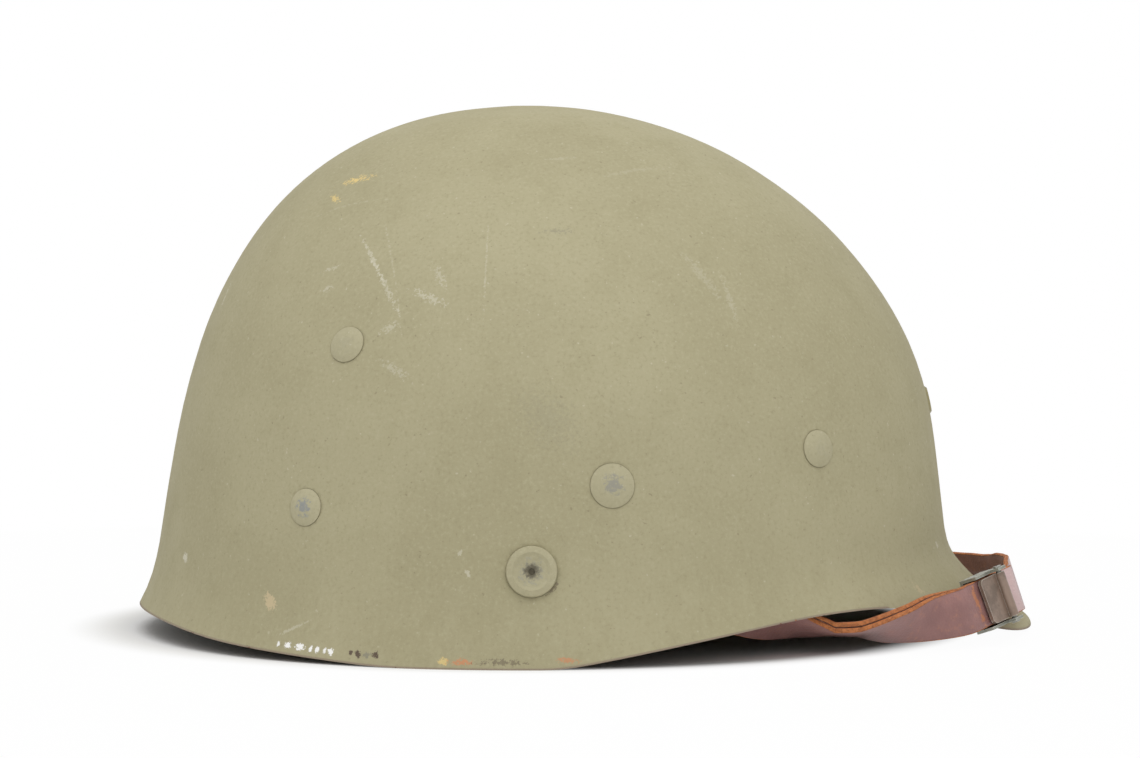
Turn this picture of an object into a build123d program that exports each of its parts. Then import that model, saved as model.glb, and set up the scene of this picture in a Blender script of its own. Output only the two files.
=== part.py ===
from build123d import *
import math
import os

# A moulded helmet liner with its suspension, sweatband and stowed chinstrap.
# Millimetres, +Z up, +X towards the visor, +Y towards the wearer's left.
# The liner stands on its rim, with the origin on the ground below its middle.

# Moulded shell
visor_reach = 154.1      # crown axis to the tip of the visor
nape_reach = 118.9       # crown axis to the rear of the rim
half_width = 117.0       # crown axis to the side of the rim
crown_height = 159.5     # ground to the top of the dome
wall = 2.6               # moulded cotton duck laminate
rim_rise = 13.3          # height of the rim's arch beside the visor
crown_x = (nape_reach - visor_reach) / 2

# Level, front, rear and side of the dome as shares of crown_height and the three reaches
dome_shares = [
    (-0.020, 0.9746, 1.051, 1.010),
    (0.039, 0.966, 1.008, 0.981),
    (0.075, 0.913, 0.983, 0.965),
    (0.107, 0.876, 0.967, 0.953),
    (0.150, 0.841, 0.952, 0.941),
    (0.213, 0.825, 0.938, 0.928),
    (0.313, 0.813, 0.916, 0.909),
    (0.414, 0.798, 0.890, 0.889),
    (0.514, 0.770, 0.855, 0.852),
    (0.614, 0.720, 0.807, 0.791),
    (0.702, 0.656, 0.747, 0.718),
    (0.784, 0.577, 0.672, 0.624),
    (0.859, 0.478, 0.574, 0.513),
    (0.922, 0.365, 0.451, 0.389),
    (0.966, 0.244, 0.314, 0.269),
    (0.991, 0.128, 0.165, 0.139),
    (0.9994, 0.033, 0.043, 0.036),
]

# Rim seen from the side: reach from the crown axis and rise, as shares of the reaches and rim_rise
rear_rim_shares = [(-1.06, 0.62), (-0.98, 0.58), (-0.82, 0.37), (-0.61, 0.18), (-0.42, 0.05), (-0.26, 0.0)]
front_rim_shares = [
    (0.03, 0.0), (0.13, 0.12), (0.25, 0.37), (0.41, 0.70), (0.54, 0.93), (0.64, 1.0),
    (0.73, 0.94), (0.82, 0.66), (0.91, 0.32), (0.99, 0.10), (1.04, 0.085),
]

# Places on the shell, as shares of the reach from the crown axis and of crown_height
rivet_place_shares = {"front": (0.556, 0.380), "side": (0.163, 0.327), "rear": (-0.439, 0.574)}
nape_place_share = (-0.540, 0.278)
stud_place_share = (0.012, 0.174)
eyelet_level_share = 0.436

# Fits
seat_depth = 0.3         # flat let into the curved shell under each head
hole_clearance = 0.1
inner_gap = 0.7          # between the curved inside of the shell and a flat fitting
web_gap = 0.3            # beside webbing and leather
cut_overrun = 6.0

# Rivets, burrs and the eyelet
rivet_radius = 5.5
rivet_height = 1.3
side_rivet_radius = 6.5
shank_radius = 2.0
head_edge = 0.5
burr_radius = 4.5
burr_thickness = 0.8
clinch_radius = 2.9
clinch_height = 1.0
eyelet_radius = 4.6
eyelet_bore_radius = 2.4
eyelet_lip = 0.6
eyelet_tube = 0.5
eyelet_washer_radius = 5.6

# Steel washers that carry the webbing
washer_thickness = 1.4
washer_eye_radius = 6.0
washer_width = 27.0
washer_neck = 5.0        # rivet to the bend
washer_slot_height = 3.6
washer_bar = 4.0
washer_slot_start = 9.4
washer_bend = 22.0       # degrees, turned in from the shell
washer_corner = 2.0

# Suspension webbing
strap_width = 20.0
web_thickness = 1.2
crown_level_share = 0.822
crown_half_gap_shares = {"front": 0.175, "side": 0.235, "rear": 0.175}
strap_bulge_share = 0.13
lace_radius = 1.5
lace_clearance = 0.4
lace_knot_radius = 3.2
lace_tail = 26.0
lace_run = 3.0           # straight past each strap end
lace_corner_share = 0.45
tail_spread = 35.0       # degrees, each side of straight back
tail_droop = 78.0        # degrees from straight down
head_band_reach = 99.0
head_band_side_share = 0.69231
head_band_oval = head_band_reach - half_width * head_band_side_share
head_band_x = -10.0
head_band_low = 44.0
head_band_height = 22.0
head_band_thickness = 1.4
nape_web_width = 24.0
nape_web_thickness = 1.6
nape_steps = 36
band_stand_off = 0.9     # head band to the strap ends outside it

# Route of the nape strap behind its rivets: reach, side and level shares
nape_rivet_step_share = 0.07
nape_route_shares = [(0.745, 0.47, 0.215), (0.815, 0.24, 0.185), (0.835, 0.0, 0.178)]

# Sweatband
clip_thickness = 0.6
clip_width = 10.0
clip_reach = 13.0
clip_rivet_share = 0.72
clip_angles = [22.0, 98.0, 152.0]
clip_rivet_radius = 1.6
band_web_thickness = 1.2
band_leather_thickness = 1.6
band_leather_height = 36.0
band_rear_gap = 34.0
adjuster_width = 16.0

# Chinstrap studs and hooks
stud_radius = 7.5
stud_height = 1.7
stud_dish_radius = 4.6
stud_hole_radius = 1.0
stud_post_radius = 2.6
stud_flange_radius = 5.5
stud_flange = 2.8
stud_neck = 2.6
stud_knob_radius = 4.4
stud_knob = 2.2
hook_thickness = 1.2
hook_clearance = 0.25
hook_tilt = 4.0          # degrees, turned in from the shell towards the leather
hook_reach = 21.0        # stud to the bar that carries the leather
hook_bar = 2.2
hook_border = 2.4
hook_end_radius = 6.6

# Chinstrap leather
leather_width = 14.0
leather_thickness = 2.0
layer_gap = 0.4
fold_length = 22.0
fold_rivet_radius = 2.6
fold_rivet_shank = 1.2
fold_rivet_head = 0.6
fold_rivet_setback = 14.0    # along the leather from the hook's bar
tail_length = 18.5       # buckle middle to the cut end of the doubled run

# Route of the stowed chinstrap on the right side: reach, side and level shares, and lean in degrees
rear_route_shares = [
    (0.303, 0.790, 0.115, 4.0),
    (0.433, 0.735, 0.080, 10.0),
    (0.530, 0.684, 0.0560, 28.0),
    (0.582, 0.664, 0.0445, 44.0),
    (0.634, 0.666, 0.0405, 54.0),
    (0.696, 0.645, 0.0451, 36.0),
]
bend_start_row = 1
rear_steps = 24
lead_steps = 8
front_steps = 40
front_route_shares = [
    (0.778, 0.576, 0.0564, 8.0),
    (0.852, 0.511, 0.0714, -18.0),
    (0.935, 0.349, 0.0929, -18.0),
    (0.959, 0.189, 0.0985, -15.0),
    (0.9705, 0.0, 0.0950, -15.0),
    (0.962, -0.189, 0.0860, -15.0),
    (0.942, -0.325, 0.0750, -15.0),
    (0.862, -0.483, 0.0690, -13.0),
    (0.778, -0.576, 0.0558, 8.0),
]
buckle_start_row = 1
buckle_end_row = 2
buckle_run_shares = (0.02, 0.5, 0.98)

# Buckle
channel_length = 12.6
channel_wall = 0.9
channel_gap = 0.45       # leather to the channel, so that it slides
ear_length = 4.2
clamp_length = 10.4
clamp_thickness = 1.1
clamp_corner = 1.8
pin_radius = 0.8
pin_clearance = 0.06
barrel_radius = 1.6
pin_head_radius = 1.2
pin_head = 0.4


def place(reach_share, level_share):
    """Side view place on the shell, as x and z."""
    reach = visor_reach if reach_share > 0 else nape_reach
    return crown_x + reach * reach_share, crown_height * level_share


def route_point(reach_share, side_share, level_share):
    """Point of the chinstrap's route, on the right side when side_share is positive."""
    x = crown_x + visor_reach * reach_share
    return Vector(x, -half_width * side_share, crown_height * level_share)


def mirrored(solid):
    """The same piece on the wearer's left."""
    return solid.mirror(Plane.XZ)


def group(solids):
    """Separate solids kept in one node."""
    return Compound(children=[Solid(s.wrapped) for piece in solids for s in piece.solids()])


def oval(front, rear, side, level):
    """Plan outline of the dome: two half ellipses that share their width."""
    front_half = EllipticalCenterArc((crown_x, 0), front, side, start_angle=-90, arc_size=180)
    rear_half = EllipticalCenterArc((crown_x, 0), rear, side, start_angle=90, arc_size=180)
    return Wire([front_half.edge(), rear_half.edge()]).moved(Location((0, 0, level)))


def dome(inset):
    """Solid dome, drawn in from the outer one by an inset."""
    reaches = (visor_reach - inset, nape_reach - inset, half_width - inset)
    sections = []
    for level, front, rear, side in dome_shares:
        sizes = [reach * share for reach, share in zip(reaches, (front, rear, side))]
        sections.append(oval(*sizes, (crown_height - inset) * level))
    return Solid.make_loft(sections)


def below_rim():
    """Everything under the rim's side view curve, which lies flat at its lowest stretch."""
    rear = [(place(reach, 0)[0], rim_rise * rise) for reach, rise in rear_rim_shares]
    front = [(place(reach, 0)[0], rim_rise * rise) for reach, rise in front_rim_shares]
    slope = (rear[1][0] - rear[0][0], rear[1][1] - rear[0][1])
    tip = (front[-1][0] - front[-2][0], front[-1][1] - front[-2][1])
    curve = Spline(*rear, tangents=[slope, (1, 0)]) + Line(rear[-1], front[0])
    curve += Spline(*front, tangents=[(1, 0), tip])
    floor = -crown_height
    box = Polyline(front[-1], (front[-1][0], floor), (rear[0][0], floor), rear[0])
    return extrude(Plane.XZ * make_face(curve + box), amount=half_width * 2, both=True)


def side_seat(outer, place_share):
    """Frame on the right outside of the shell: x level, y up the shell, z outwards."""
    x, z = place(*place_share)
    hits = outer.find_intersection_points(Axis((x, -half_width * 2, z), (0, 1, 0)))
    point, normal = min(hits, key=lambda hit: hit[0].Y)
    return Plane(origin=point, x_dir=Vector(0, 0, 1).cross(normal), z_dir=normal)


def front_seat(outer):
    """Frame on the front of the shell at the eyelet."""
    level = crown_height * eyelet_level_share
    hits = outer.find_intersection_points(Axis((visor_reach * 2, 0, level), (-1, 0, 0)))
    point, normal = max(hits, key=lambda hit: hit[0].X)
    return Plane(origin=point, x_dir=Vector(0, 0, 1).cross(normal), z_dir=normal)


def turned(points):
    """Solid of revolution about the local z axis from radius and height points."""
    return revolve(Plane.XZ * make_face(Polyline(*points, close=True)), Axis.Z)


def ring(outer_radius, inner_radius, low, high):
    """Flat washer between two heights."""
    return turned([(inner_radius, low), (outer_radius, low), (outer_radius, high), (inner_radius, high)])


def rod(radius, low, high):
    """Round bar on the local z axis."""
    return turned([(0, low), (radius, low), (radius, high), (0, high)])


def shell_piece(outer, seats, stud, eyelet):
    """Moulded shell with its rivet, stud and eyelet holes."""
    shell = Part(outer.wrapped) - dome(wall) - below_rim()
    depth = -(wall + cut_overrun)
    for seat, head in seats:
        tool = rod(shank_radius + hole_clearance, depth, cut_overrun)
        tool += rod(head + hole_clearance, -seat_depth, cut_overrun)
        tool = seat * tool
        shell = shell - tool - mirrored(tool)
    tool = rod(stud_post_radius + hole_clearance, depth, cut_overrun)
    tool = stud * (tool + rod(stud_radius + hole_clearance, -seat_depth, cut_overrun))
    shell = shell - tool - mirrored(tool)
    tool = rod(eyelet_bore_radius + eyelet_tube + hole_clearance, depth, cut_overrun)
    return shell - eyelet * (tool + rod(eyelet_radius + hole_clearance, -seat_depth, cut_overrun))


def rivet(head_radius, grip):
    """Low domed rivet through a grip, with its clinched end."""
    foot = -(grip + clinch_height)
    edge_level = head_edge - seat_depth
    shoulder = (head_radius / 2, rivet_height * 0.85)
    crown = ThreePointArc((0, rivet_height), shoulder, (head_radius, edge_level))
    rest = Polyline(
        (head_radius, edge_level), (head_radius, -seat_depth), (shank_radius, -seat_depth),
        (shank_radius, -grip), (clinch_radius, -grip), (clinch_radius * 0.7, foot), (0, foot),
        (0, rivet_height))
    return revolve(Plane.XZ * make_face(crown + rest), Axis.Z)


def burr(grip):
    """Burr washer under a rivet's clinch."""
    return ring(burr_radius, shank_radius + hole_clearance / 2, -grip, burr_thickness - grip)


def washer_profile_top():
    """Height of the washer's far edge above its rivet."""
    return washer_slot_start + washer_slot_height + washer_bar


def washer_piece():
    """Steel washer: a riveted eye below, and a slot and a bar above, bent in from the shell."""
    top = washer_profile_top()
    half = washer_width / 2
    slot_half = (strap_width + web_gap * 2) / 2
    shoulder = washer_slot_start
    outline = Polygon(
        (-washer_eye_radius, 0), (washer_eye_radius, 0), (half, shoulder), (half, top),
        (-half, top), (-half, shoulder), align=None)
    outline = fillet(outline.vertices().group_by(Axis.Y)[-1], washer_corner)
    outline += Circle(washer_eye_radius)
    slot = Pos(0, washer_slot_start + washer_slot_height / 2) * Rectangle(slot_half * 2, washer_slot_height)
    outline -= slot + Circle(shank_radius + hole_clearance)
    lean = math.tan(math.radians(washer_bend))
    face = -(wall + inner_gap)
    low = -washer_eye_radius - cut_overrun
    drop = (top + cut_overrun - washer_neck) * lean
    side = Polygon(
        (low, face), (washer_neck, face), (top + cut_overrun, face - drop),
        (top + cut_overrun, face - drop - washer_thickness), (washer_neck, face - washer_thickness),
        (low, face - washer_thickness), align=None)
    bent = extrude(Plane.YZ * side, amount=washer_width, both=True)
    return bent & extrude(outline, amount=wall * cut_overrun, both=True)


def ellipse_distance(point, heading, reach, side):
    """Distance along a level heading from an outside point to the head band's oval."""
    px, py = (point.X - head_band_x) / reach, point.Y / side
    dx, dy = heading.X / reach, heading.Y / side
    a = dx * dx + dy * dy
    b = px * dx + py * dy
    c = px * px + py * py - 1
    return (-b - math.sqrt(b * b - a * c)) / a


def strap_layout(seat, crown_half_gap):
    """Frame of a crown strap: inwards and up in its own upright plane, and its crown end."""
    inward = Vector(-seat.z_dir.X, -seat.z_dir.Y, 0).normalized()
    plane = Plane(origin=Vector(seat.origin.X, seat.origin.Y, 0), x_dir=inward, z_dir=seat.x_dir)
    run = (-crown_half_gap - seat.origin.Y) / inward.Y
    return plane, inward, run


def crown_strap(seat, crown_half_gap):
    """Web strap from the crown lace, behind the washer's bar, through its slot to the head band."""
    plane, inward, run = strap_layout(seat, crown_half_gap)
    lean = math.tan(math.radians(washer_bend))
    bar_middle = washer_slot_start + washer_slot_height + washer_bar / 2
    bar_face = wall + inner_gap + (bar_middle - washer_neck) * lean
    web_offset = bar_face - web_gap - web_thickness / 2 - hole_clearance
    slot_middle = washer_slot_start + washer_slot_height / 2
    slot_face = wall + inner_gap + (slot_middle - washer_neck) * lean + washer_thickness / 2

    def in_plane(height, depth):
        spot = seat.origin + seat.y_dir * height - seat.z_dir * depth
        return Vector((spot - plane.origin).dot(inward), spot.Z)

    crown = Vector(run, crown_height * crown_level_share)
    over_bar = in_plane(bar_middle + washer_bar / 2, web_offset)
    at_bar = in_plane(bar_middle - washer_bar / 2 + web_thickness, web_offset + lean * -washer_bar / 2)
    slot = in_plane(slot_middle - web_thickness / 2, slot_face)
    reach = head_band_reach + band_stand_off + web_thickness / 2
    band_in = ellipse_distance(seat.origin, inward, reach, reach - head_band_oval)
    band_top = Vector(band_in, head_band_low + head_band_height - web_thickness)
    band_foot = Vector(band_in, head_band_low + web_thickness)
    chord = crown - over_bar
    bulge = Vector(-chord.Y, chord.X).normalized() * (chord.length * strap_bulge_share)
    if bulge.X > 0:
        bulge = bulge * -1
    arc = ThreePointArc(crown, (crown + over_bar) / 2 + bulge, over_bar)
    low = Polyline(over_bar, at_bar, slot, band_top, band_foot)
    profile = trace(arc, web_thickness) + trace(low, web_thickness)
    for corner in (over_bar, at_bar, slot, band_top):
        profile += Pos(corner.X, corner.Y) * Circle(web_thickness / 2)
    loop_radius = lace_radius + lace_clearance
    profile += Pos(crown.X, crown.Y) * Circle(loop_radius + web_thickness)
    profile -= Pos(crown.X, crown.Y) * Circle(loop_radius)
    return extrude(plane * profile, amount=strap_width / 2, both=True)


def crown_corners(seats):
    """Corners of the crown lace on the right side, from the front to the rear."""
    corners = []
    for name, seat in seats.items():
        plane, inward, run = strap_layout(seat, half_width * crown_half_gap_shares[name])
        middle = plane.origin + inward * run
        across = seat.x_dir * (strap_width / 2 + lace_run)
        level = Vector(0, 0, crown_height * crown_level_share)
        pair = sorted((middle + across + level, middle - across + level), key=lambda p: -p.X)
        corners += pair
    return corners


def crown_lace(seats):
    """Lace through the six strap ends, as a closed loop with arcs at its corners."""
    right = crown_corners(seats)
    loop = right + [Vector(p.X, -p.Y, p.Z) for p in reversed(right)]
    radii = []
    for i, corner in enumerate(loop):
        before = loop[i - 1] - corner
        after = loop[(i + 1) % len(loop)] - corner
        turn = 180 - before.get_angle(after)
        between = min(before.length, after.length)
        radii.append(min(lace_corner_share * between, lace_run) / math.tan(math.radians(turn / 2)))
    path = FilletPolyline(*loop, radius=radii, close=True)
    start = path.wire()
    section = Plane(origin=start @ 0, z_dir=start % 0) * Circle(lace_radius)
    return sweep(section, path=start)


def lace_knot(seats):
    """Knot of the crown lace at its front run, with its two cut tails."""
    front = crown_corners(seats)[0]
    middle = Vector(front.X, 0, front.Z - lace_radius - lace_knot_radius - hole_clearance)
    knot = Pos(middle) * Sphere(lace_knot_radius)
    for spread in (-tail_spread, tail_spread):
        tail = rod(lace_radius, -lace_tail, 0)
        knot += Pos(middle) * Rot(0, 0, spread) * Rot(0, tail_droop, 0) * tail
    return knot


def band(reach, thickness, low, height):
    """Upright oval band about the head, measured to its outer face."""
    side = reach - head_band_oval
    face = Ellipse(reach, side) - Ellipse(reach - thickness, side - thickness)
    return Pos(head_band_x, 0, low) * extrude(face, amount=height)


def band_frame(angle):
    """Frame on the head band's inner face: x level, y up, z outwards."""
    reach = head_band_reach - head_band_thickness
    side = reach - head_band_oval
    x, y = reach * math.cos(math.radians(angle)), side * math.sin(math.radians(angle))
    normal = Vector(x / reach ** 2, y / side ** 2, 0).normalized()
    across = Vector(0, 0, 1).cross(normal)
    return Plane(origin=(head_band_x + x, y, head_band_low), x_dir=across, z_dir=normal)


def band_clip():
    """Spring clip that opens upwards over the head band's lower edge."""
    inner = -web_gap
    outer = head_band_thickness + web_gap
    foot = -web_gap - clip_thickness
    side = Polyline(
        (clip_reach, inner), (-web_gap, inner), (-web_gap, outer), (clip_reach, outer),
        (clip_reach, outer + clip_thickness), (foot, outer + clip_thickness), (foot, inner - clip_thickness),
        (clip_reach, inner - clip_thickness), close=True)
    return extrude(Plane.YZ * make_face(side), amount=clip_width / 2, both=True)


def clip_rivet():
    """Rivet that holds a clip to the sweatband's web."""
    low = -(web_gap + clip_thickness + hole_clearance + band_web_thickness)
    spot = Pos(0, clip_reach * clip_rivet_share, 0)
    return spot * rod(clip_rivet_radius, low, -web_gap - clip_thickness)


def all_clip_frames():
    """Frames of the six clips."""
    return [band_frame(sign * angle) for angle in clip_angles for sign in (-1, 1)]


def sweatband_web_reach():
    """Outer reach of the sweatband's web backing."""
    return head_band_reach - head_band_thickness - web_gap - clip_thickness - hole_clearance


def sweatband_pieces():
    """Leather and web backing of the sweatband, open and joined at the rear by an adjuster."""
    middle = head_band_low + head_band_height / 2
    web = band(sweatband_web_reach(), band_web_thickness, head_band_low, head_band_height)
    holes = [frame * clip_rivet_hole() for frame in all_clip_frames()]
    for hole in holes:
        web -= hole
    reach = sweatband_web_reach() - band_web_thickness - hole_clearance
    leather = band(reach, band_leather_thickness, middle - band_leather_height / 2, band_leather_height)
    gap = Pos(head_band_x - reach, 0, middle) * Box(reach, band_rear_gap, band_leather_height * 2)
    return web, leather - gap


def clip_rivet_hole():
    """Hole for a clip rivet through the sweatband's web."""
    tool = rod(clip_rivet_radius + hole_clearance / 2, -cut_overrun, cut_overrun)
    return Pos(0, clip_reach * clip_rivet_share, 0) * tool


def sweatband_adjuster():
    """Friction slide over the web backing at the rear."""
    reach = sweatband_web_reach() - band_web_thickness - web_gap
    lip = clip_thickness
    low = head_band_low - web_gap - lip
    high = head_band_low + head_band_height + web_gap
    width = band_web_thickness + web_gap
    solid = band(reach, lip, low, high + lip - low)
    for level in (low, high):
        solid += band(reach + width, width + lip, level, lip)
    return solid & Pos(head_band_x - reach, 0, high) * Box(reach, adjuster_width, high)


def strap_frame(point, along, lean):
    """Frame on the chinstrap: x along it, y across its width, z outwards."""
    side = along.cross(Vector(0, 0, 1)).normalized()
    up = side.cross(along).normalized()
    turn = math.radians(lean)
    outward = side * math.cos(turn) - up * math.sin(turn)
    return Plane(origin=point, x_dir=along, z_dir=outward)


def ribbon(frames, width, thickness, offsets):
    """Strap solid through its frames, its middle moved outwards by an offset at each."""
    sections = []
    for frame, offset in zip(frames, offsets):
        middle = frame.origin + frame.z_dir * offset
        across = Plane(origin=middle, x_dir=frame.y_dir, z_dir=frame.x_dir)
        sections.append(across * Rectangle(width, thickness))
    return loft(sections, ruled=True)


def blended(table, value):
    """Straight interpolation in a rising table of pairs."""
    for (x0, y0), (x1, y1) in zip(table, table[1:]):
        if value <= x1:
            return y0 + (y1 - y0) * max(0, (value - x0) / (x1 - x0))
    return table[-1][1]


def curve_frames(curve, count, lean_at):
    """Evenly spaced frames along a curve, both ends included."""
    frames = []
    for i in range(count + 1):
        point = curve @ (i / count)
        frames.append(strap_frame(point, curve % (i / count), lean_at(point)))
    return frames


def hook_plane(stud):
    """Frame of the right hook: origin on the stud's axis, x towards the leather, z outwards."""
    depth = wall + inner_gap + stud_flange + stud_neck / 2
    neck = stud.origin - stud.z_dir * depth
    target = route_point(*rear_route_shares[0][:3]) - neck
    flat = (target - stud.z_dir * target.dot(stud.z_dir)).normalized()
    tilt = math.radians(hook_tilt)
    along = flat * math.cos(tilt) - stud.z_dir * math.sin(tilt)
    return Plane(origin=neck, x_dir=along, z_dir=stud.z_dir * math.cos(tilt) + flat * math.sin(tilt))


def rear_frames(stud):
    """Frames of the rear run and of the bend on the right side."""
    plane = hook_plane(stud)
    start = plane.origin + plane.x_dir * hook_reach
    points = [route_point(*row[:3]) for row in rear_route_shares]
    after = route_point(*front_route_shares[0][:3])
    ahead = (after - points[-2]).normalized()
    curve = Spline(start, *points, tangents=[plane.x_dir, ahead])
    hook_lean = -math.degrees(math.asin(plane.z_dir.Z))
    leans = [(start.X, hook_lean), (start.X + hook_bar * 2, hook_lean)]
    leans += [(p.X, row[3]) for p, row in zip(points, rear_route_shares)]
    frames = curve_frames(curve, rear_steps, lambda p: blended(leans, p.X))
    frames[0] = plane_at(plane, start)
    cut = points[bend_start_row].X
    rear = [f for f in frames if f.origin.X <= cut]
    bend = [rear[-1]] + [f for f in frames if f.origin.X > cut]
    return rear, bend


def plane_at(plane, origin):
    """The same directions at another origin."""
    return Plane(origin=origin, x_dir=plane.x_dir, z_dir=plane.z_dir)


def flipped_frame(frame):
    """Frame of the left side from the right side's, turned to keep x forwards along the loop."""
    return Plane(
        origin=Vector(frame.origin.X, -frame.origin.Y, frame.origin.Z),
        x_dir=Vector(-frame.x_dir.X, frame.x_dir.Y, -frame.x_dir.Z),
        z_dir=Vector(frame.z_dir.X, -frame.z_dir.Y, frame.z_dir.Z))


def front_frames(last_bend):
    """Frames of the front loop: to the buckle, along it, round the visor and back to the left bend."""
    rows = front_route_shares
    points = [route_point(*row[:3]) for row in rows]
    start, left_end = last_bend, flipped_frame(last_bend)
    table = [(-half_width, 0)] + sorted((p.Y, row[3]) for p, row in zip(points, rows))
    table[0] = (start.origin.Y, rear_route_shares[-1][3])
    table.append((left_end.origin.Y, rear_route_shares[-1][3]))
    buckle_line = points[buckle_end_row] - points[buckle_start_row]
    straight = buckle_line.normalized()
    lead = Spline(start.origin, points[0], points[buckle_start_row], tangents=[start.x_dir, straight])
    run = Line(points[buckle_start_row], points[buckle_end_row])
    rest = points[buckle_end_row:]
    round_front = Spline(*rest, left_end.origin, tangents=[straight, left_end.x_dir])
    lean_run = rows[buckle_end_row][3]

    def lean_at(point):
        if abs(point.Y) < -points[buckle_start_row].Y:
            return lean_run
        return blended(table, point.Y)

    frames = curve_frames(lead, lead_steps, lean_at)
    frames[0] = start
    buckle = [strap_frame(run @ share, straight, lean_run) for share in buckle_run_shares]
    onward = curve_frames(round_front, front_steps, lean_at)
    onward[-1] = left_end
    return frames[:-1] + buckle, buckle[1], onward[1:]


def rear_strap(frames, sides):
    """Rear run of the chinstrap: its layers and the fold round the hook's bar."""
    spread = (hook_thickness / 2 + web_gap + leather_thickness / 2, (layer_gap + leather_thickness) / 2)
    steps = len(frames) - 1
    solid = None
    for sign, count in sides:
        used = frames[:count] if count else frames
        offsets = [sign * (spread[0] + (spread[1] - spread[0]) * i / steps) for i in range(len(used))]
        layer = ribbon(used, leather_width, leather_thickness, offsets)
        solid = layer if solid is None else solid + layer
    bar = frames[0]
    inner = hook_thickness / 2 + web_gap
    fold = Circle(inner + leather_thickness) - Circle(inner)
    half = Pos(-inner - leather_thickness, 0) * Rectangle(
        (inner + leather_thickness) * 2, (inner + leather_thickness) * 2)
    across = Plane(origin=bar.origin, x_dir=bar.x_dir, z_dir=bar.y_dir * -1)
    return solid + extrude(across * (fold & half), amount=leather_width / 2, both=True)


def riveted_end(frames, fold_rows):
    """Single rear run folded round the hook's bar and held by a rivet, with that rivet."""
    steps = len(frames) - 1
    row = round(fold_rivet_setback / (frames[1].origin - frames[0].origin).length)
    start = hook_thickness / 2 + web_gap + leather_thickness / 2
    end = (layer_gap + leather_thickness) / 2
    reach = start + (end - start) * row / steps + leather_thickness / 2 + hole_clearance
    seat = frames[row]
    hole = seat * rod(fold_rivet_shank + hole_clearance, -cut_overrun, cut_overrun)
    shank = rod(fold_rivet_shank, -reach, reach)
    heads = [rod(fold_rivet_radius, reach, reach + fold_rivet_head)]
    heads.append(rod(fold_rivet_radius, -reach - fold_rivet_head, -reach))
    return rear_strap(frames, [(-1, 0), (1, fold_rows)]) - hole, seat * (shank + heads)


def hook_piece(stud):
    """Flat steel hook: a keyhole on the stud's neck and a slot for the leather."""
    plane = hook_plane(stud)
    inner_half = leather_width / 2 + web_gap
    outer_half = inner_half + hook_border
    inner = hook_thickness / 2 + web_gap
    slot_end = hook_reach
    slot_start = slot_end - inner - leather_thickness - web_gap
    plate_end = slot_end + hook_bar
    shoulder = slot_start - hook_border
    outline = Circle(hook_end_radius)
    outline += Polygon(
        (0, hook_end_radius), (shoulder, outer_half), (plate_end, outer_half), (plate_end, -outer_half),
        (shoulder, -outer_half), (0, -hook_end_radius), align=None)
    outline -= Pos((slot_start + slot_end) / 2, 0) * Rectangle(slot_end - slot_start, inner_half * 2)
    outline -= Circle(stud_post_radius + hook_clearance)
    pass_radius = stud_knob_radius + hook_clearance
    pass_x = pass_radius + stud_post_radius
    outline -= Pos(pass_x, 0) * Circle(pass_radius)
    outline -= Pos(pass_x / 2, 0) * Rectangle(pass_x, (stud_post_radius + hook_clearance) * 2)
    return extrude(plane * outline, amount=hook_thickness / 2, both=True)


def stud_piece():
    """Chinstrap stud: dished head outside, post, flange and snap knob inside."""
    flange = -(wall + inner_gap)
    neck = flange - stud_flange
    knob = neck - stud_neck
    foot = knob - stud_knob
    dish = head_edge
    return turned([
        (0, -seat_depth), (stud_hole_radius, -seat_depth), (stud_hole_radius, dish),
        (stud_dish_radius, stud_height * 0.75), (stud_dish_radius + stud_hole_radius, stud_height),
        (stud_radius - seat_depth, stud_height * 0.8), (stud_radius, stud_height * 0.4),
        (stud_radius, -seat_depth), (stud_post_radius, -seat_depth), (stud_post_radius, flange),
        (stud_flange_radius, flange), (stud_flange_radius, neck), (stud_post_radius, neck),
        (stud_post_radius, knob), (stud_knob_radius, knob), (stud_knob_radius, (knob + foot) / 2),
        (stud_knob_radius * 0.75, foot), (0, foot)])


def leather_face():
    """Distance from the strap's middle to the outer face of a layer pair."""
    return layer_gap / 2 + leather_thickness


def pin_place():
    """Pin of the clamp in the buckle's frame: along the strap and outwards."""
    along = channel_length / 2 - barrel_radius - channel_wall / 2
    return along, leather_face() + web_gap + barrel_radius


def buckle_channel(frame):
    """Steel channel behind the strap, with flanges over its edges and ears for the pin."""
    half = leather_width / 2 + channel_gap
    back = -(leather_face() + channel_gap)
    top = leather_face() + web_gap
    base = Pos(0, 0, back - channel_wall / 2) * Box(channel_length, (half + channel_wall) * 2, channel_wall)
    solid = base
    along, out = pin_place()
    height = top - back + channel_wall
    ear_top = out + barrel_radius
    for sign in (-1, 1):
        y = sign * (half + channel_wall / 2)
        flange = Pos(0, y, back - channel_wall + height / 2) * Box(channel_length, channel_wall, height)
        ear = Pos(along, y, (top + ear_top) / 2) * Box(ear_length, channel_wall, ear_top - top)
        solid = solid + flange + ear
    hole = Pos(along, 0, out) * Rot(90, 0, 0) * Cylinder(pin_radius + pin_clearance, leather_width * 2)
    return frame * (solid - hole)


def buckle_clamp(frame):
    """Hinged clamp plate that lies over the strap."""
    along, out = pin_place()
    width = leather_width - web_gap
    face = leather_face() + web_gap
    length = clamp_length
    plate = Pos(along - length / 2, 0, face + clamp_thickness / 2) * Box(length, width, clamp_thickness)
    corners = plate.edges().filter_by(Axis.Z).group_by(Axis.X)[0]
    plate = fillet(corners, clamp_corner)
    barrel = Pos(along, 0, out) * Rot(90, 0, 0) * Cylinder(barrel_radius, width)
    hole = Pos(along, 0, out) * Rot(90, 0, 0) * Cylinder(pin_radius + pin_clearance, leather_width * 2)
    return frame * (plate + barrel - hole)


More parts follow.
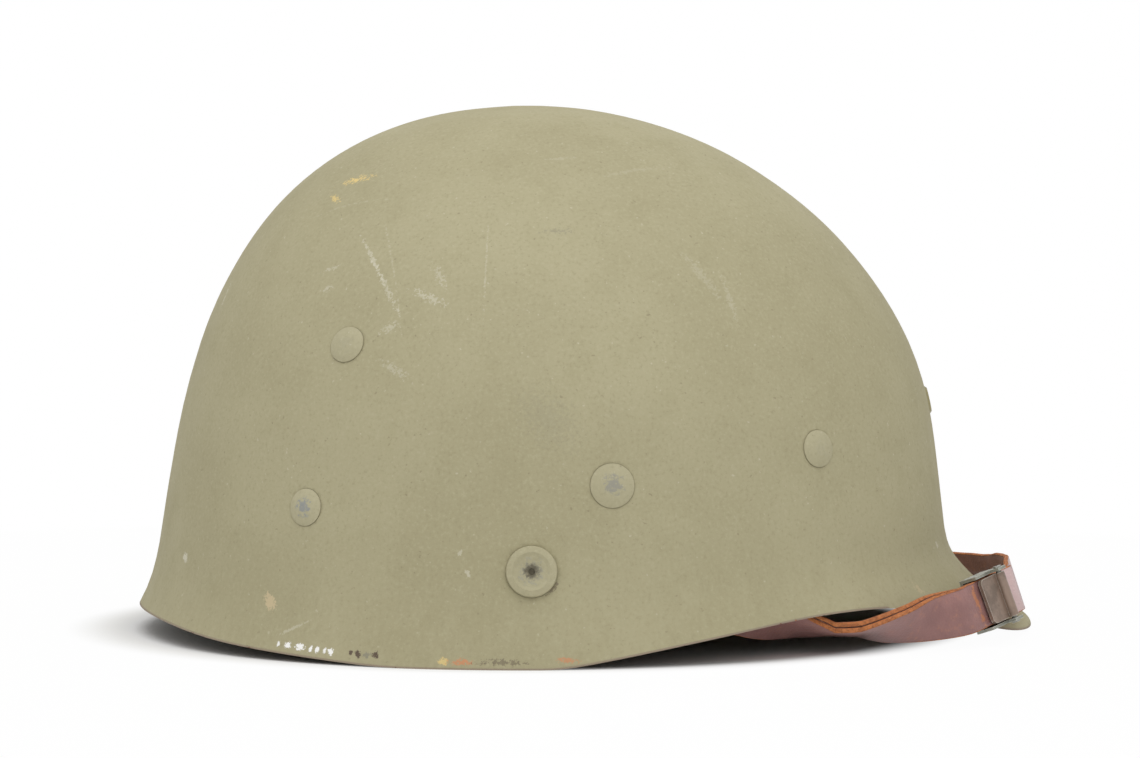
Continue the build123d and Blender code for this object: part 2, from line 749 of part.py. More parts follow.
def buckle_pin(frame):
    """Pin of the clamp, headed at both ends outside the channel's ears."""
    along, out = pin_place()
    half = leather_width / 2 + channel_gap + channel_wall + hole_clearance
    shaft = rod(pin_radius, -half, half)
    heads = [rod(pin_head_radius, half, half + pin_head), rod(pin_head_radius, -half - pin_head, -half)]
    return frame * Pos(along, 0, out) * Rot(90, 0, 0) * (shaft + heads)


def nape_strap(outer):
    """Web strap across the nape, from one nape rivet to the other."""
    depth = wall + inner_gap + nape_web_thickness / 2
    reach_share, level_share = nape_place_share
    seats = []
    for step in (nape_rivet_step_share, 0, -nape_rivet_step_share):
        seats.append(side_seat(outer, (reach_share + step, level_share)))
    points = [seat.origin - seat.z_dir * depth for seat in seats]
    for reach, side, level in nape_route_shares:
        points.append(Vector(crown_x - nape_reach * reach, -half_width * side, crown_height * level))
    left = [Vector(p.X, -p.Y, p.Z) for p in reversed(points[:-1])]
    curve = Spline(*points, *left)
    frames = []
    start_tilt = math.degrees(math.asin(seats[1].z_dir.Z))
    for i in range(nape_steps + 1):
        point = curve @ (i / nape_steps)
        share = min(1, abs(point.Y) / -points[1].Y)
        along = (curve % (i / nape_steps)) * -1
        frames.append(strap_frame(point, along, -start_tilt * share ** 2))
    web = ribbon(frames, nape_web_width, nape_web_thickness, [0] * len(frames))
    hole = seats[1] * rod(shank_radius + hole_clearance, -wall * cut_overrun, cut_overrun)
    return web - hole - mirrored(hole)


def write(name, solid):
    """Export one node."""
    export_step(solid, os.path.join("parts", name + ".step"))


def write_pair(name, solid):
    """Export a right piece and its mirrored left one."""
    write(name + "_right", solid)
    write(name + "_left", mirrored(solid))


def write_suspension(outer, seats, nape):
    """Rivets, washers, webbing and lace."""
    grip = wall + inner_gap + washer_thickness + burr_thickness
    nape_grip = wall + inner_gap + nape_web_thickness + web_gap + burr_thickness
    rivets, burrs = [], []
    for name, seat in seats.items():
        head = side_rivet_radius if name == "side" else rivet_radius
        solid = seat * rivet(head, grip)
        if name == "side":
            write("side_rivets", group([solid, mirrored(solid)]))
        else:
            rivets += [solid, mirrored(solid)]
        backing = seat * burr(grip)
        burrs += [backing, mirrored(backing)]
        write_pair("washer_" + name, seat * washer_piece())
        write_pair("crown_strap_" + name, crown_strap(seat, half_width * crown_half_gap_shares[name]))
    write("suspension_rivets", group(rivets))
    solid, backing = nape * rivet(rivet_radius, nape_grip), nape * burr(nape_grip)
    write("nape_rivets", group([solid, mirrored(solid)]))
    write("rivet_burrs", group(burrs + [backing, mirrored(backing)]))
    write("crown_lace", crown_lace(seats))
    write("lace_knot", lace_knot(seats))
    write("head_band", band(head_band_reach, head_band_thickness, head_band_low, head_band_height))
    write("nape_strap", nape_strap(outer))


def write_sweatband():
    """Sweatband, clips and adjuster."""
    web, leather = sweatband_pieces()
    write("sweatband_web", web)
    write("sweatband_leather", leather)
    write("sweatband_adjuster", sweatband_adjuster())
    write("sweatband_clips", group([frame * band_clip() for frame in all_clip_frames()]))
    write("clip_rivets", group([frame * clip_rivet() for frame in all_clip_frames()]))


def write_chinstrap(stud):
    """Studs, hooks, leather and buckle."""
    write_pair("chinstrap_stud", stud * stud_piece())
    write_pair("chinstrap_hook", hook_piece(stud))
    rear, bend = rear_frames(stud)
    offset = (layer_gap + leather_thickness) / 2
    fold_rows = 1 + round(fold_length / (rear[1].origin - rear[0].origin).length)
    write("chinstrap_rear_right", rear_strap(rear, [(1, 0), (-1, 0)]))
    end, rivet_piece = riveted_end(rear, fold_rows)
    write("chinstrap_rear_left", mirrored(end))
    write("chinstrap_fold_rivet", mirrored(rivet_piece))
    inner = ribbon(bend, leather_width, leather_thickness, [-offset] * len(bend))
    outer_layer = ribbon(bend, leather_width, leather_thickness, [offset] * len(bend))
    write("chinstrap_bend_right", group([inner, outer_layer]))
    write("chinstrap_bend_left", mirrored(inner))
    lead, buckle, onward = front_frames(bend[-1])
    loop = lead + onward
    write("chinstrap_front", ribbon(loop, leather_width, leather_thickness, [-offset] * len(loop)))
    tail = [f for f in onward if (f.origin - buckle.origin).length < tail_length and f.origin.Y < 0]
    doubled = lead + tail
    write("chinstrap_doubled", ribbon(doubled, leather_width, leather_thickness, [offset] * len(doubled)))
    write("buckle_channel", buckle_channel(buckle))
    write("buckle_clamp", buckle_clamp(buckle))
    write("buckle_pin", buckle_pin(buckle))


def main():
    """Build and write every node."""
    os.makedirs("parts", exist_ok=True)
    outer = dome(0)
    seats = {name: side_seat(outer, shares) for name, shares in rivet_place_shares.items()}
    nape = side_seat(outer, nape_place_share)
    stud = side_seat(outer, stud_place_share)
    eyelet = front_seat(outer)
    heads = [(seat, side_rivet_radius if name == "side" else rivet_radius) for name, seat in seats.items()]
    write("liner_shell", shell_piece(outer, heads + [(nape, rivet_radius)], stud, eyelet))
    tube = eyelet_bore_radius + eyelet_tube
    foot = -(wall + inner_gap + burr_thickness)
    write("front_eyelet", eyelet * turned([
        (eyelet_bore_radius, eyelet_lip), (eyelet_radius * 0.8, eyelet_lip), (eyelet_radius, -seat_depth),
        (tube, -seat_depth), (tube, foot), (tube + eyelet_tube, foot),
        (tube + eyelet_tube, foot - eyelet_lip), (eyelet_bore_radius, foot - eyelet_lip)]))
    washer = ring(eyelet_washer_radius, tube + hole_clearance / 2, foot, foot + burr_thickness)
    write("eyelet_washer", eyelet * washer)
    write_suspension(outer, seats, nape)
    write_sweatband()
    write_chinstrap(stud)


main()
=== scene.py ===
import logging
import math
from dataclasses import dataclass, field
from enum import Enum

import bmesh
import bpy
from mathutils import Matrix, Vector
from mathutils.bvhtree import BVHTree


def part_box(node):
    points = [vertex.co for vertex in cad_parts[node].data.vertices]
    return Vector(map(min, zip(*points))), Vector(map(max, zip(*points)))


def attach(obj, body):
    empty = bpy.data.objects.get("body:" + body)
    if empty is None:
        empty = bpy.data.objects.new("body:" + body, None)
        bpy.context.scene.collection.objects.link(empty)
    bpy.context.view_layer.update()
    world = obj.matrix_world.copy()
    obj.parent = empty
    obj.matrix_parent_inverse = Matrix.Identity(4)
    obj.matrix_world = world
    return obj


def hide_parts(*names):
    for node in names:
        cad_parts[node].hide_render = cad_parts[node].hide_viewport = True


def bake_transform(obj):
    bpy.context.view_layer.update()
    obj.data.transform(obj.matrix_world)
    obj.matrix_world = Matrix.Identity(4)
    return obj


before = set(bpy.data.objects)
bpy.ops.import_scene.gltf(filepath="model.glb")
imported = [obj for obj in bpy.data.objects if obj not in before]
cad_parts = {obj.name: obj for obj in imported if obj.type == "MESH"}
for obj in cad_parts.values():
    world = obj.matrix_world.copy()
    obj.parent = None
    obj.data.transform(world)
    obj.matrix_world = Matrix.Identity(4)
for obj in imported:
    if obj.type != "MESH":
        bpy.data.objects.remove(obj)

logging.basicConfig(level=logging.INFO, format="%(message)s")
log = logging.getLogger("liner")

MM = 0.001
DOME_X = -0.0176
WHITE = (1.0, 1.0, 1.0, 1.0)
PLACES = ("front", "side", "rear")
SIDES = ("left", "right")
MIRROR = Vector((1.0, -1.0, 1.0))
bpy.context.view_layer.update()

Size = tuple[float, float, float]
Colour = tuple[float, float, float, float]
Socket = bpy.types.NodeSocket
Value = Socket | float
Paint = Socket | Colour
Material = bpy.types.Material


def tone(red: float, green: float, blue: float) -> Colour:
    """Linear colour of a screen colour whose red, green and blue go from 0 to 255."""
    shares = [value / 255 for value in (red, green, blue)]
    return *(s / 12.92 if s <= 0.04045 else ((s + 0.055) / 1.055) ** 2.4 for s in shares), 1.0


@dataclass(frozen=True)
class Mark:
    """A scuff, chip or stain: an ellipsoid that the surface passes through."""

    middle: Vector
    turn: Size
    half: Size
    colour: Colour
    strength: float = 1.0
    ragged: float = 0.5


@dataclass(frozen=True)
class Scuff:
    """A mark as it shows in the photograph, from one pixel to another."""

    start: tuple[float, float]
    end: tuple[float, float]
    width_mm: float
    colour: Colour
    strength: float
    ragged: float


class Sum(Enum):
    """Arithmetic that a node does on values."""

    PLUS = "ADD"
    LESS = "SUBTRACT"
    TIMES = "MULTIPLY"
    MOST = "MAXIMUM"
    SIZE = "ABSOLUTE"
    SINE = "SINE"
    SIGN = "SIGN"


class Nodes:
    """Builder of one node tree."""

    def __init__(self, tree: bpy.types.NodeTree) -> None:
        """Starts with the tree empty."""
        self.tree = tree
        self.tree.nodes.clear()

    def node(self, kind: str, inputs: dict | None = None, **settings) -> bpy.types.Node:
        """Adds a node.

        Args:
            kind: Its type, without the prefix.
            inputs: What each input takes: a socket to link, or a value.
            settings: Its properties.

        Returns:
            The node.
        """
        made = self.tree.nodes.new("ShaderNode" + kind)
        for key, value in settings.items():
            setattr(made, key, value)
        for key, value in (inputs or {}).items():
            self.feed(made.inputs[key], value)
        return made

    def feed(self, socket: Socket, value: Value | Paint) -> None:
        """Links a socket, or sets its value.

        Args:
            socket: The input.
            value: A socket or a value.
        """
        if isinstance(value, bpy.types.NodeSocket):
            self.tree.links.new(value, socket)
        else:
            socket.default_value = value

    def calc(self, what: Sum, first: Value, second: Value = 0.0, clamp: bool = False) -> Socket:
        """Arithmetic on two values, held from 0 to 1 where it is clamped."""
        return self.node("Math", {0: first, 1: second}, operation=what.value, use_clamp=clamp).outputs[0]

    def seen(self) -> Socket:
        """1 for what the camera or a gloss sees, and 0 for what lights the object."""
        rays = self.node("LightPath").outputs
        return self.calc(Sum.MOST, rays["Is Camera Ray"], rays["Is Glossy Ray"])


class Finish(Nodes):
    """Builder of one material's nodes, with the shader at its end."""

    def __init__(self, name: str) -> None:
        """Starts the material.

        Args:
            name: The material's name.
        """
        self.material = bpy.data.materials.new(name)
        self.material.use_nodes = True
        super().__init__(self.material.node_tree)
        self.shader = self.node("BsdfPrincipled")
        self.output = self.node("OutputMaterial", {0: self.shader.outputs[0]})

    def place(self) -> Socket:
        """Object coordinates, in metres."""
        return self.node("TexCoord").outputs["Object"]

    def cloth(self) -> Socket:
        """The piece's own map, across and along the cloth."""
        return self.node("UVMap", uv_map="weave").outputs[0]

    def stored(self, name: str) -> Socket:
        """A number kept on the piece's points."""
        return self.node("Attribute", attribute_name=name).outputs["Fac"]

    def stretch(self, where: Socket, scale: Size) -> Socket:
        """Coordinates with each axis scaled."""
        return self.node("Mapping", {"Vector": where, "Scale": scale}).outputs[0]

    def noise(self, where: Socket, scale: float, detail: float = 3.0, rough: float = 0.55) -> Socket:
        """Noise round a half, with a scale in features a metre, octaves and the weight of the finer ones."""
        inputs = {"Vector": where, "Scale": scale, "Detail": detail, "Roughness": rough}
        return self.node("TexNoise", inputs).outputs[0]

    def cells(self, where: Socket, scale: float) -> Socket:
        """Distance to the nearest of scattered points."""
        return self.node("TexVoronoi", {"Vector": where, "Scale": scale}).outputs["Distance"]

    def plus(self, first: Value, second: Value, clamp: bool = False) -> Socket:
        """Two values added."""
        return self.calc(Sum.PLUS, first, second, clamp)

    def times(self, first: Value, second: Value) -> Socket:
        """Two values multiplied."""
        return self.calc(Sum.TIMES, first, second)

    def span(self, value: Value, low: float, high: float, to_low: float = 0.0,
             to_high: float = 1.0) -> Socket:
        """Value moved smoothly from low and high to to_low and to_high, and held between them."""
        inputs = {"Value": value, "From Min": low, "From Max": high, "To Min": to_low, "To Max": to_high}
        return self.node("MapRange", inputs, interpolation_type="SMOOTHSTEP").outputs[0]

    def mix(self, share: Value, first: Paint, second: Paint) -> Socket:
        """A share of the second colour laid over the first."""
        return self.node("Mix", {0: share, 6: first, 7: second}, data_type="RGBA").outputs[2]

    def lay(self, colour: Paint, over: Paint, value: Value, low: float, high: float,
            most: float = 1.0) -> Socket:
        """A colour laid over another, with none of it where a value is low and the most where it is high."""
        return self.mix(self.span(value, low, high, 0.0, most), colour, over)

    def bump(self, height: Value, distance: float, strength: float, below: Socket | None = None) -> Socket:
        """Normal of a fine relief.

        Args:
            height: Its height, 0 to 1.
            distance: What 1 stands for, in metres.
            strength: How strong it looks.
            below: A coarser relief's normal.

        Returns:
            The normal.
        """
        inputs = {"Height": height, "Distance": distance, "Strength": strength}
        if below is not None:
            inputs["Normal"] = below
        return self.node("Bump", inputs).outputs[0]

    def near(self, where: Socket, mark: Mark) -> Socket:
        """How far a place is from a mark's middle, where 1 is its edge.

        Args:
            where: Coordinates.
            mark: The mark.

        Returns:
            The distance.
        """
        inputs = {"Vector": where, "Location": mark.middle, "Rotation": mark.turn, "Scale": mark.half}
        inside = self.node("Mapping", inputs, vector_type="TEXTURE").outputs[0]
        return self.node("VectorMath", {0: inside}, operation="LENGTH").outputs["Value"]

    def frayed(self, where: Socket, mark: Mark, noise: Socket, most: float) -> Socket:
        """How far a place is from a mark's middle, made ragged by a noise, by the most either way."""
        return self.plus(self.near(where, mark), self.span(noise, 0.3, 0.7, -most, most))

    def finish(self, colour: Paint, rough: Value, normal: Socket | None = None,
               **constants: float) -> Material:
        """Sets the shader.

        Args:
            colour: Base colour.
            rough: Roughness.
            normal: Relief.
            constants: Other sockets, by name with underscores.

        Returns:
            The material.
        """
        self.feed(self.shader.inputs["Base Color"], colour)
        self.feed(self.shader.inputs["Roughness"], rough)
        if normal is not None:
            self.feed(self.shader.inputs["Normal"], normal)
        for key, value in constants.items():
            self.shader.inputs[key.replace("_", " ")].default_value = value
        return self.material


@dataclass
class PhotoView:
    """Camera where the photograph's stood, on the wearer's right and looking a little down.

    The width and height are the photograph's pixels, and the rest is in metres, radians and the lens's
    millimetres.
    """

    width: int = 1140
    height: int = 758
    aim: Vector = field(default_factory=lambda: Vector((-4.7, 0.0, 75.9)) * MM)
    distance: float = 1.8
    elevation: float = math.radians(3.92)
    lens: float = 185.7
    sensor: float = 36.0
    mark_depth: float = 0.0015

    def build(self) -> None:
        """Makes the camera."""
        data = bpy.data.cameras.new("photo_camera")
        data.lens = self.lens
        data.sensor_width = self.sensor
        data.clip_start, data.clip_end = 0.05, 60.0
        camera = bpy.data.objects.new("photo_camera", data)
        camera.location = self.eye()
        camera.rotation_euler = (math.pi / 2 - self.elevation, 0.0, 0.0)
        bpy.context.scene.collection.objects.link(camera)
        bpy.context.scene.camera = camera

    def eye(self) -> Vector:
        """Where the camera stands."""
        back = Vector((0.0, -math.cos(self.elevation), math.sin(self.elevation)))
        return self.aim + back * self.distance

    def ray(self, x: float, y: float) -> Vector:
        """Direction of a pixel.

        Args:
            x: Pixels from the photograph's left edge.
            y: Pixels from its top edge.

        Returns:
            The direction from the camera.
        """
        step = self.sensor / self.lens / self.width
        right = (x - self.width / 2) * step
        up = (self.height / 2 - y) * step
        ahead = Vector((0.0, math.cos(self.elevation), -math.sin(self.elevation)))
        above = Vector((0.0, math.sin(self.elevation), math.cos(self.elevation)))
        return (ahead + Vector((right, 0.0, 0.0)) + above * up).normalized()

    def hit(self, tree: BVHTree, pixel: tuple[float, float]) -> Vector | None:
        """Where a pixel falls on a surface, or None where it misses."""
        return tree.ray_cast(self.eye(), self.ray(*pixel))[0]

    def mark(self, tree: BVHTree, scuff: Scuff) -> Mark | None:
        """A scuff of the photograph put on the surface.

        Args:
            tree: The surface.
            scuff: The scuff.

        Returns:
            The mark, or None where it misses the surface.
        """
        start, end = self.hit(tree, scuff.start), self.hit(tree, scuff.end)
        if start is None or end is None:
            return None
        run, half = end - start, scuff.width_mm * MM / 2
        turn = run.to_track_quat("X", "Z").to_euler()
        size = (run.length / 2 + half, half, max(half, self.mark_depth))
        return Mark((start + end) / 2, tuple(turn), size, scuff.colour, scuff.strength, scuff.ragged)


def surface(node: str) -> BVHTree:
    """Search tree of a CAD node's surface."""
    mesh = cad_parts[node].data
    return BVHTree.FromPolygons([v.co for v in mesh.vertices], [tuple(p.vertices) for p in mesh.polygons])


def keep(mesh: bpy.types.Mesh, name: str, values: list[float]) -> None:
    """Keeps a named number on each point of a mesh."""
    mesh.attributes.new(name, "FLOAT", "POINT").data.foreach_set("value", values)


@dataclass(frozen=True)
class LinerPaint:
    """Matt olive drab paint with a fine sandy tooth, worn to brown laminate at the rim.

    The colours come first, then the scales of its noises, in features a metre.
    """

    base: Colour = tone(171, 164, 132)
    light: Colour = tone(181, 175, 144)
    dark: Colour = tone(156, 149, 118)
    grime_and_shade: Colour = tone(120, 112, 86)
    fleck: Colour = tone(206, 202, 178)
    edge: Colour = tone(136, 120, 108)
    laminate: Colour = tone(118, 84, 60)
    raw: Colour = tone(198, 128, 84)
    resin: Colour = tone(74, 56, 44)
    inner: Colour = tone(134, 126, 92)
    dish_shade: Colour = tone(96, 90, 74)
    patches: float = 16.0
    clouds: float = 95.0
    sand: float = 950.0
    specks: float = 760.0
    dust: float = 500.0
    rubbing: float = 800.0
    fraying: float = 1100.0
    chips: float = 190.0

    def coat(self, kit: Finish) -> tuple[Socket, Socket, Socket, Socket]:
        """Mottled colour, sandy relief and their coordinates.

        Args:
            kit: The material under way.

        Returns:
            Coordinates, colour, relief and roughness.
        """
        where = kit.place()
        broad = kit.noise(where, self.patches, 3.0, 0.6)
        colour = kit.mix(0.7, kit.lay(self.dark, self.light, broad, 0.35, 0.68), self.base)
        cloud = kit.noise(where, self.clouds, 4.0, 0.6)
        colour = kit.lay(colour, self.dark, cloud, 0.5, 0.72, 0.18)
        sand = kit.noise(where, self.sand, 3.0, 0.7)
        colour = kit.lay(colour, self.dark, sand, 0.52, 0.72, 0.6)
        colour = kit.lay(colour, self.light, sand, 0.48, 0.3, 0.55)
        speck = kit.noise(where, self.specks, 1.5, 0.5)
        colour = kit.lay(colour, self.grime_and_shade, speck, 0.71, 0.77, 0.4)
        colour = kit.lay(colour, self.fleck, speck, 0.28, 0.22, 0.42)
        relief = kit.bump(sand, 0.00012, 0.55, kit.bump(cloud, 0.0006, 0.22))
        return where, colour, relief, kit.span(cloud, 0.3, 0.7, 0.74, 0.88)

    def shell(self, name: str, marks: list[Mark], heads: list[Mark]) -> Material:
        """The shell's paint, with its rim wear, scuffs, painted shade towards the rim, and grime with painted
        shade round each head.

        Args:
            name: The material's name.
            marks: Scuffs and chips.
            heads: Rivet heads, as marks of their own size.

        Returns:
            The material.
        """
        kit = Finish(name)
        where, colour, relief, rough = self.coat(kit)
        rim, inside = kit.stored("rim_mm"), kit.stored("inside")
        streak = kit.noise(kit.stretch(where, (420.0, 420.0, 22.0)), 1.0, 2.0, 0.6)
        low = kit.span(rim, 34.0, 4.0)
        pale = kit.times(kit.times(kit.span(streak, 0.5, 0.72), low), 0.28)
        deep = kit.times(kit.span(streak, 0.48, 0.3), kit.times(low, 0.2))
        colour = kit.mix(deep, kit.mix(pale, colour, self.light), self.dark)
        # Painted shade: the shell is laid darker towards the rim, from 42 mm above it down to the edge.
        colour = kit.lay(colour, self.dark, rim, 42.0, 2.0, 0.22)
        both, dust = self.folded(kit, where), kit.noise(where, self.dust)
        # Grime with painted shade: a dark ring is laid on the shell round each head, where the head meets the
        # shell.
        for head in heads:
            colour = kit.lay(colour, self.grime_and_shade, kit.frayed(both, head, dust, 0.08), 1.12, 1.0, 0.2)
        ragged = kit.noise(where, self.fraying, 4.0, 0.75)
        for mark in marks:
            edge = kit.frayed(where, mark, ragged, mark.ragged)
            colour = kit.lay(colour, mark.colour, edge, 1.0, 0.62, mark.strength)
        chip = kit.noise(where, self.chips, 5.0, 0.7)
        bare = kit.span(kit.calc(Sum.LESS, kit.span(chip, 0.58, 0.78, 0.0, 1.7), rim), 0.02, 0.25)
        under = kit.lay(self.laminate, self.raw, kit.noise(where, 260.0, 3.0, 0.6), 0.5, 0.66)
        under = kit.lay(under, self.resin, kit.noise(where, 900.0), 0.4, 0.7, 0.5)
        colour = kit.mix(kit.times(inside, 0.75), colour, self.inner)
        colour = kit.lay(colour, self.edge, rim, 0.75, 0.3, 0.75)
        colour = kit.mix(bare, colour, under)
        relief = kit.bump(bare, -0.00035, 0.7, relief)
        rough = kit.calc(Sum.LESS, rough, kit.times(bare, 0.12))
        return kit.finish(colour, rough, relief, Specular_IOR_Level=0.32)

    def folded(self, kit: Finish, where: Socket) -> Socket:
        """Coordinates with the left side laid over the right.

        Args:
            kit: The material under way.
            where: Coordinates.

        Returns:
            The folded coordinates.
        """
        parts = kit.node("SeparateXYZ", {0: where}).outputs
        side = kit.times(kit.calc(Sum.SIZE, parts[1]), -1.0)
        return kit.node("CombineXYZ", {0: parts[0], 1: side, 2: parts[2]}).outputs[0]

    def fitting(self, name: str, heads: list[Mark], metal: Colour, worn: float,
                hole: float = 0.0) -> Material:
        """Painted metal, worn towards the middle of each head, with grime and painted shade at each head's
        edge and painted shade in the middle of a dish.

        Args:
            name: The material's name.
            heads: Heads, as marks of their own size.
            metal: Colour under the paint.
            worn: How much of the paint is gone.
            hole: How dark the painted shade in the middle of a dish is.

        Returns:
            The material.
        """
        kit = Finish(name)
        where, colour, relief, rough = self.coat(kit)
        colour = kit.mix(0.12, colour, self.fleck)
        both, rub = self.folded(kit, where), kit.noise(where, self.rubbing, 4.0, 0.7)
        gone = 0.0
        for head in heads:
            near = kit.near(both, head)
            here = kit.span(kit.frayed(both, head, rub, 0.28), 0.5, 0.2, 0.0, worn)
            gone = kit.calc(Sum.MOST, gone, here)
            # Grime with painted shade: each head's edge is laid darker where it meets the shell.
            edge = kit.times(kit.span(near, 0.92, 1.04, 0.0, 0.15), kit.span(near, 1.4, 1.2))
            colour = kit.mix(edge, colour, self.grime_and_shade)
        colour = kit.mix(gone, colour, metal)
        # Painted shade: the middle of each dish is laid darker, where its hollow falls in shade.
        for head in heads if hole else ():
            colour = kit.lay(colour, self.dish_shade, kit.frayed(both, head, rub, 0.08), 0.4, 0.14, hole)
        return kit.finish(colour, rough, relief, Specular_IOR_Level=0.35)


@dataclass(frozen=True)
class StrapLeather:
    """Red-brown grain leather with raw orange edges and a paler flesh side."""

    face: Colour = tone(158, 116, 111)
    deep: Colour = tone(126, 88, 85)
    rubbed: Colour = tone(176, 124, 104)
    raw: Colour = tone(204, 126, 72)
    back: Colour = tone(176, 146, 142)
    raw_deep: Colour = tone(150, 86, 48)
    fluff: Colour = tone(230, 176, 126)

    def material(self, name: str, shine: float, marks: tuple[Mark, ...] = ()) -> Material:
        """Makes the material.

        Args:
            name: The material's name.
            shine: Roughness of the face.
            marks: Rubbed places.

        Returns:
            The material.
        """
        kit = Finish(name)
        where = kit.place()
        cloud = kit.noise(where, 110.0, 4.0, 0.6)
        colour = kit.mix(0.45, kit.lay(self.deep, self.face, cloud, 0.35, 0.7), self.face)
        colour = kit.lay(colour, self.rubbed, kit.noise(where, 420.0, 4.0, 0.7), 0.52, 0.74, 0.6)
        ragged = kit.noise(where, 520.0, 4.0, 0.7)
        for mark in marks:
            near = kit.frayed(where, mark, ragged, mark.ragged)
            colour = kit.lay(colour, mark.colour, near, 1.0, 0.6, mark.strength)
        colour = kit.mix(kit.stored("flesh"), colour, self.back)
        grain = kit.cells(where, 1500.0)
        pores = kit.noise(where, 2600.0, 2.0, 0.6)
        crease = kit.noise(kit.stretch(where, (130.0, 130.0, 900.0)), 1.0, 3.0, 0.7)
        edge, fuzz = kit.stored("raw_edge"), kit.noise(where, 1900.0, 4.0, 0.8)
        bare = kit.span(kit.plus(edge, kit.span(fuzz, 0.3, 0.7, -0.3, 0.3)), 0.4, 0.75)
        raw = kit.lay(self.raw, self.raw_deep, kit.noise(where, 700.0, 3.0, 0.7), 0.35, 0.7)
        raw = kit.lay(raw, self.fluff, fuzz, 0.5, 0.75, 0.6)
        colour = kit.mix(bare, colour, raw)
        relief = kit.bump(grain, 0.00022, 0.4, kit.bump(crease, 0.0005, 0.35))
        relief = kit.bump(pores, 0.0001, 0.4, relief)
        relief = kit.bump(kit.times(fuzz, edge), 0.0007, 0.8, relief)
        rough = kit.plus(kit.span(cloud, 0.3, 0.7, shine, shine + 0.14), kit.times(bare, 0.4), True)
        return kit.finish(colour, rough, relief, Specular_IOR_Level=0.5)


@dataclass(frozen=True)
class Webbing:
    """Woven olive drab cotton, with ribs along it and picks across."""

    warp: Colour = tone(150, 142, 106)
    shade: Colour = tone(112, 104, 74)
    soil: Colour = tone(96, 84, 58)
    fluff: Colour = tone(176, 168, 134)

    def material(self, name: str, ribs: float, picks: float) -> Material:
        """Makes the material.

        Args:
            name: The material's name.
            ribs: Warp ribs in a metre of width.
            picks: Weft picks in a metre of length.

        Returns:
            The material.
        """
        kit = Finish(name)
        where = kit.place()
        parts = kit.node("SeparateXYZ", {0: kit.cloth()}).outputs
        across, along = kit.times(parts[0], ribs * math.tau), kit.times(parts[1], picks * math.tau)
        side = kit.calc(Sum.SIGN, kit.calc(Sum.SINE, kit.times(across, 0.5)))
        rib = kit.calc(Sum.SINE, across)
        pick = kit.calc(Sum.SINE, kit.plus(along, kit.times(side, math.pi / 2)))
        height = kit.plus(kit.plus(kit.times(rib, 0.3), kit.times(pick, 0.3)), 0.5, True)
        thread = kit.noise(where, 1800.0, 3.0, 0.7)
        colour = kit.lay(self.shade, self.warp, height, 0.1, 0.9)
        colour = kit.lay(colour, self.soil, kit.noise(where, 60.0, 4.0, 0.65), 0.5, 0.75, 0.5)
        colour = kit.lay(colour, self.fluff, thread, 0.5, 0.8, 0.35)
        relief = kit.bump(height, 0.0003, 0.8, kit.bump(thread, 0.0001, 0.5))
        return kit.finish(colour, 0.92, relief, Specular_IOR_Level=0.2, Sheen_Weight=0.15)


@dataclass(frozen=True)
class Metal:
    """Bare or thinly coated metal, with rubbed edges, worn chips and dull patches."""

    name: str
    base: Colour
    patch: Colour
    worn: Colour
    metallic: float
    rough: float
    wear: float
    rounding: float = 0.0004

    def material(self) -> Material:
        """Makes the material.

        Returns:
            The material.
        """
        kit = Finish(self.name)
        where = kit.place()
        cloud, fine = kit.noise(where, 170.0, 4.0, 0.65), kit.noise(where, 1300.0, 4.0, 0.7)
        rounded = kit.node("Bevel", {"Radius": self.rounding}, samples=6).outputs["Normal"]
        true = kit.node("NewGeometry").outputs["Normal"]
        turn = kit.node("VectorMath", {0: rounded, 1: true}, operation="DOT_PRODUCT").outputs["Value"]
        rub = kit.times(kit.span(turn, 0.99, 0.86), kit.span(fine, 0.3, 0.5))
        chips = kit.span(kit.noise(where, 520.0, 5.0, 0.75), 0.6, 0.66, 0.0, self.wear)
        colour = kit.lay(self.base, self.patch, cloud, 0.42, 0.66)
        colour = kit.mix(kit.calc(Sum.MOST, rub, chips), colour, self.worn)
        scratch = kit.noise(kit.stretch(where, (900.0, 160.0, 900.0)), 1.0, 2.0, 0.5)
        rough = kit.plus(kit.span(cloud, 0.35, 0.7, self.rough - 0.08, self.rough + 0.12),
                         kit.span(scratch, 0.4, 0.7, 0.0, 0.1))
        relief = kit.bump(fine, 0.00008, 0.5, kit.bump(cloud, 0.0002, 0.3))
        return kit.finish(colour, rough, relief, Metallic=self.metallic)


def piece_from(bm: bmesh.types.BMesh, name: str, smooth: bool = True) -> bpy.types.Object:
    """Makes an object of a mesh under way.

    Args:
        bm: The mesh, which is freed.
        name: The object's name.
        smooth: Whether its faces shade smoothly.

    Returns:
        The object.
    """
    mesh = bpy.data.meshes.new(name)
    for face in bm.faces:
        face.smooth = smooth
    bm.to_mesh(mesh)
    bm.free()
    made = bpy.data.objects.new(name, mesh)
    bpy.context.scene.collection.objects.link(made)
    return made


def dress(made: bpy.types.Object, material: Material) -> None:
    """Gives a piece its material.

    Args:
        made: The piece.
        material: Its material.
    """
    made.data.materials.clear()
    made.data.materials.append(material)


def edges_over(bm: bmesh.types.BMesh, degrees: float) -> list[bmesh.types.BMEdge]:
    """Edges of a mesh where its faces meet at more than an angle."""
    least = math.radians(degrees)
    return [e for e in bm.edges if len(e.link_faces) == 2 and e.calc_face_angle(0.0) > least]


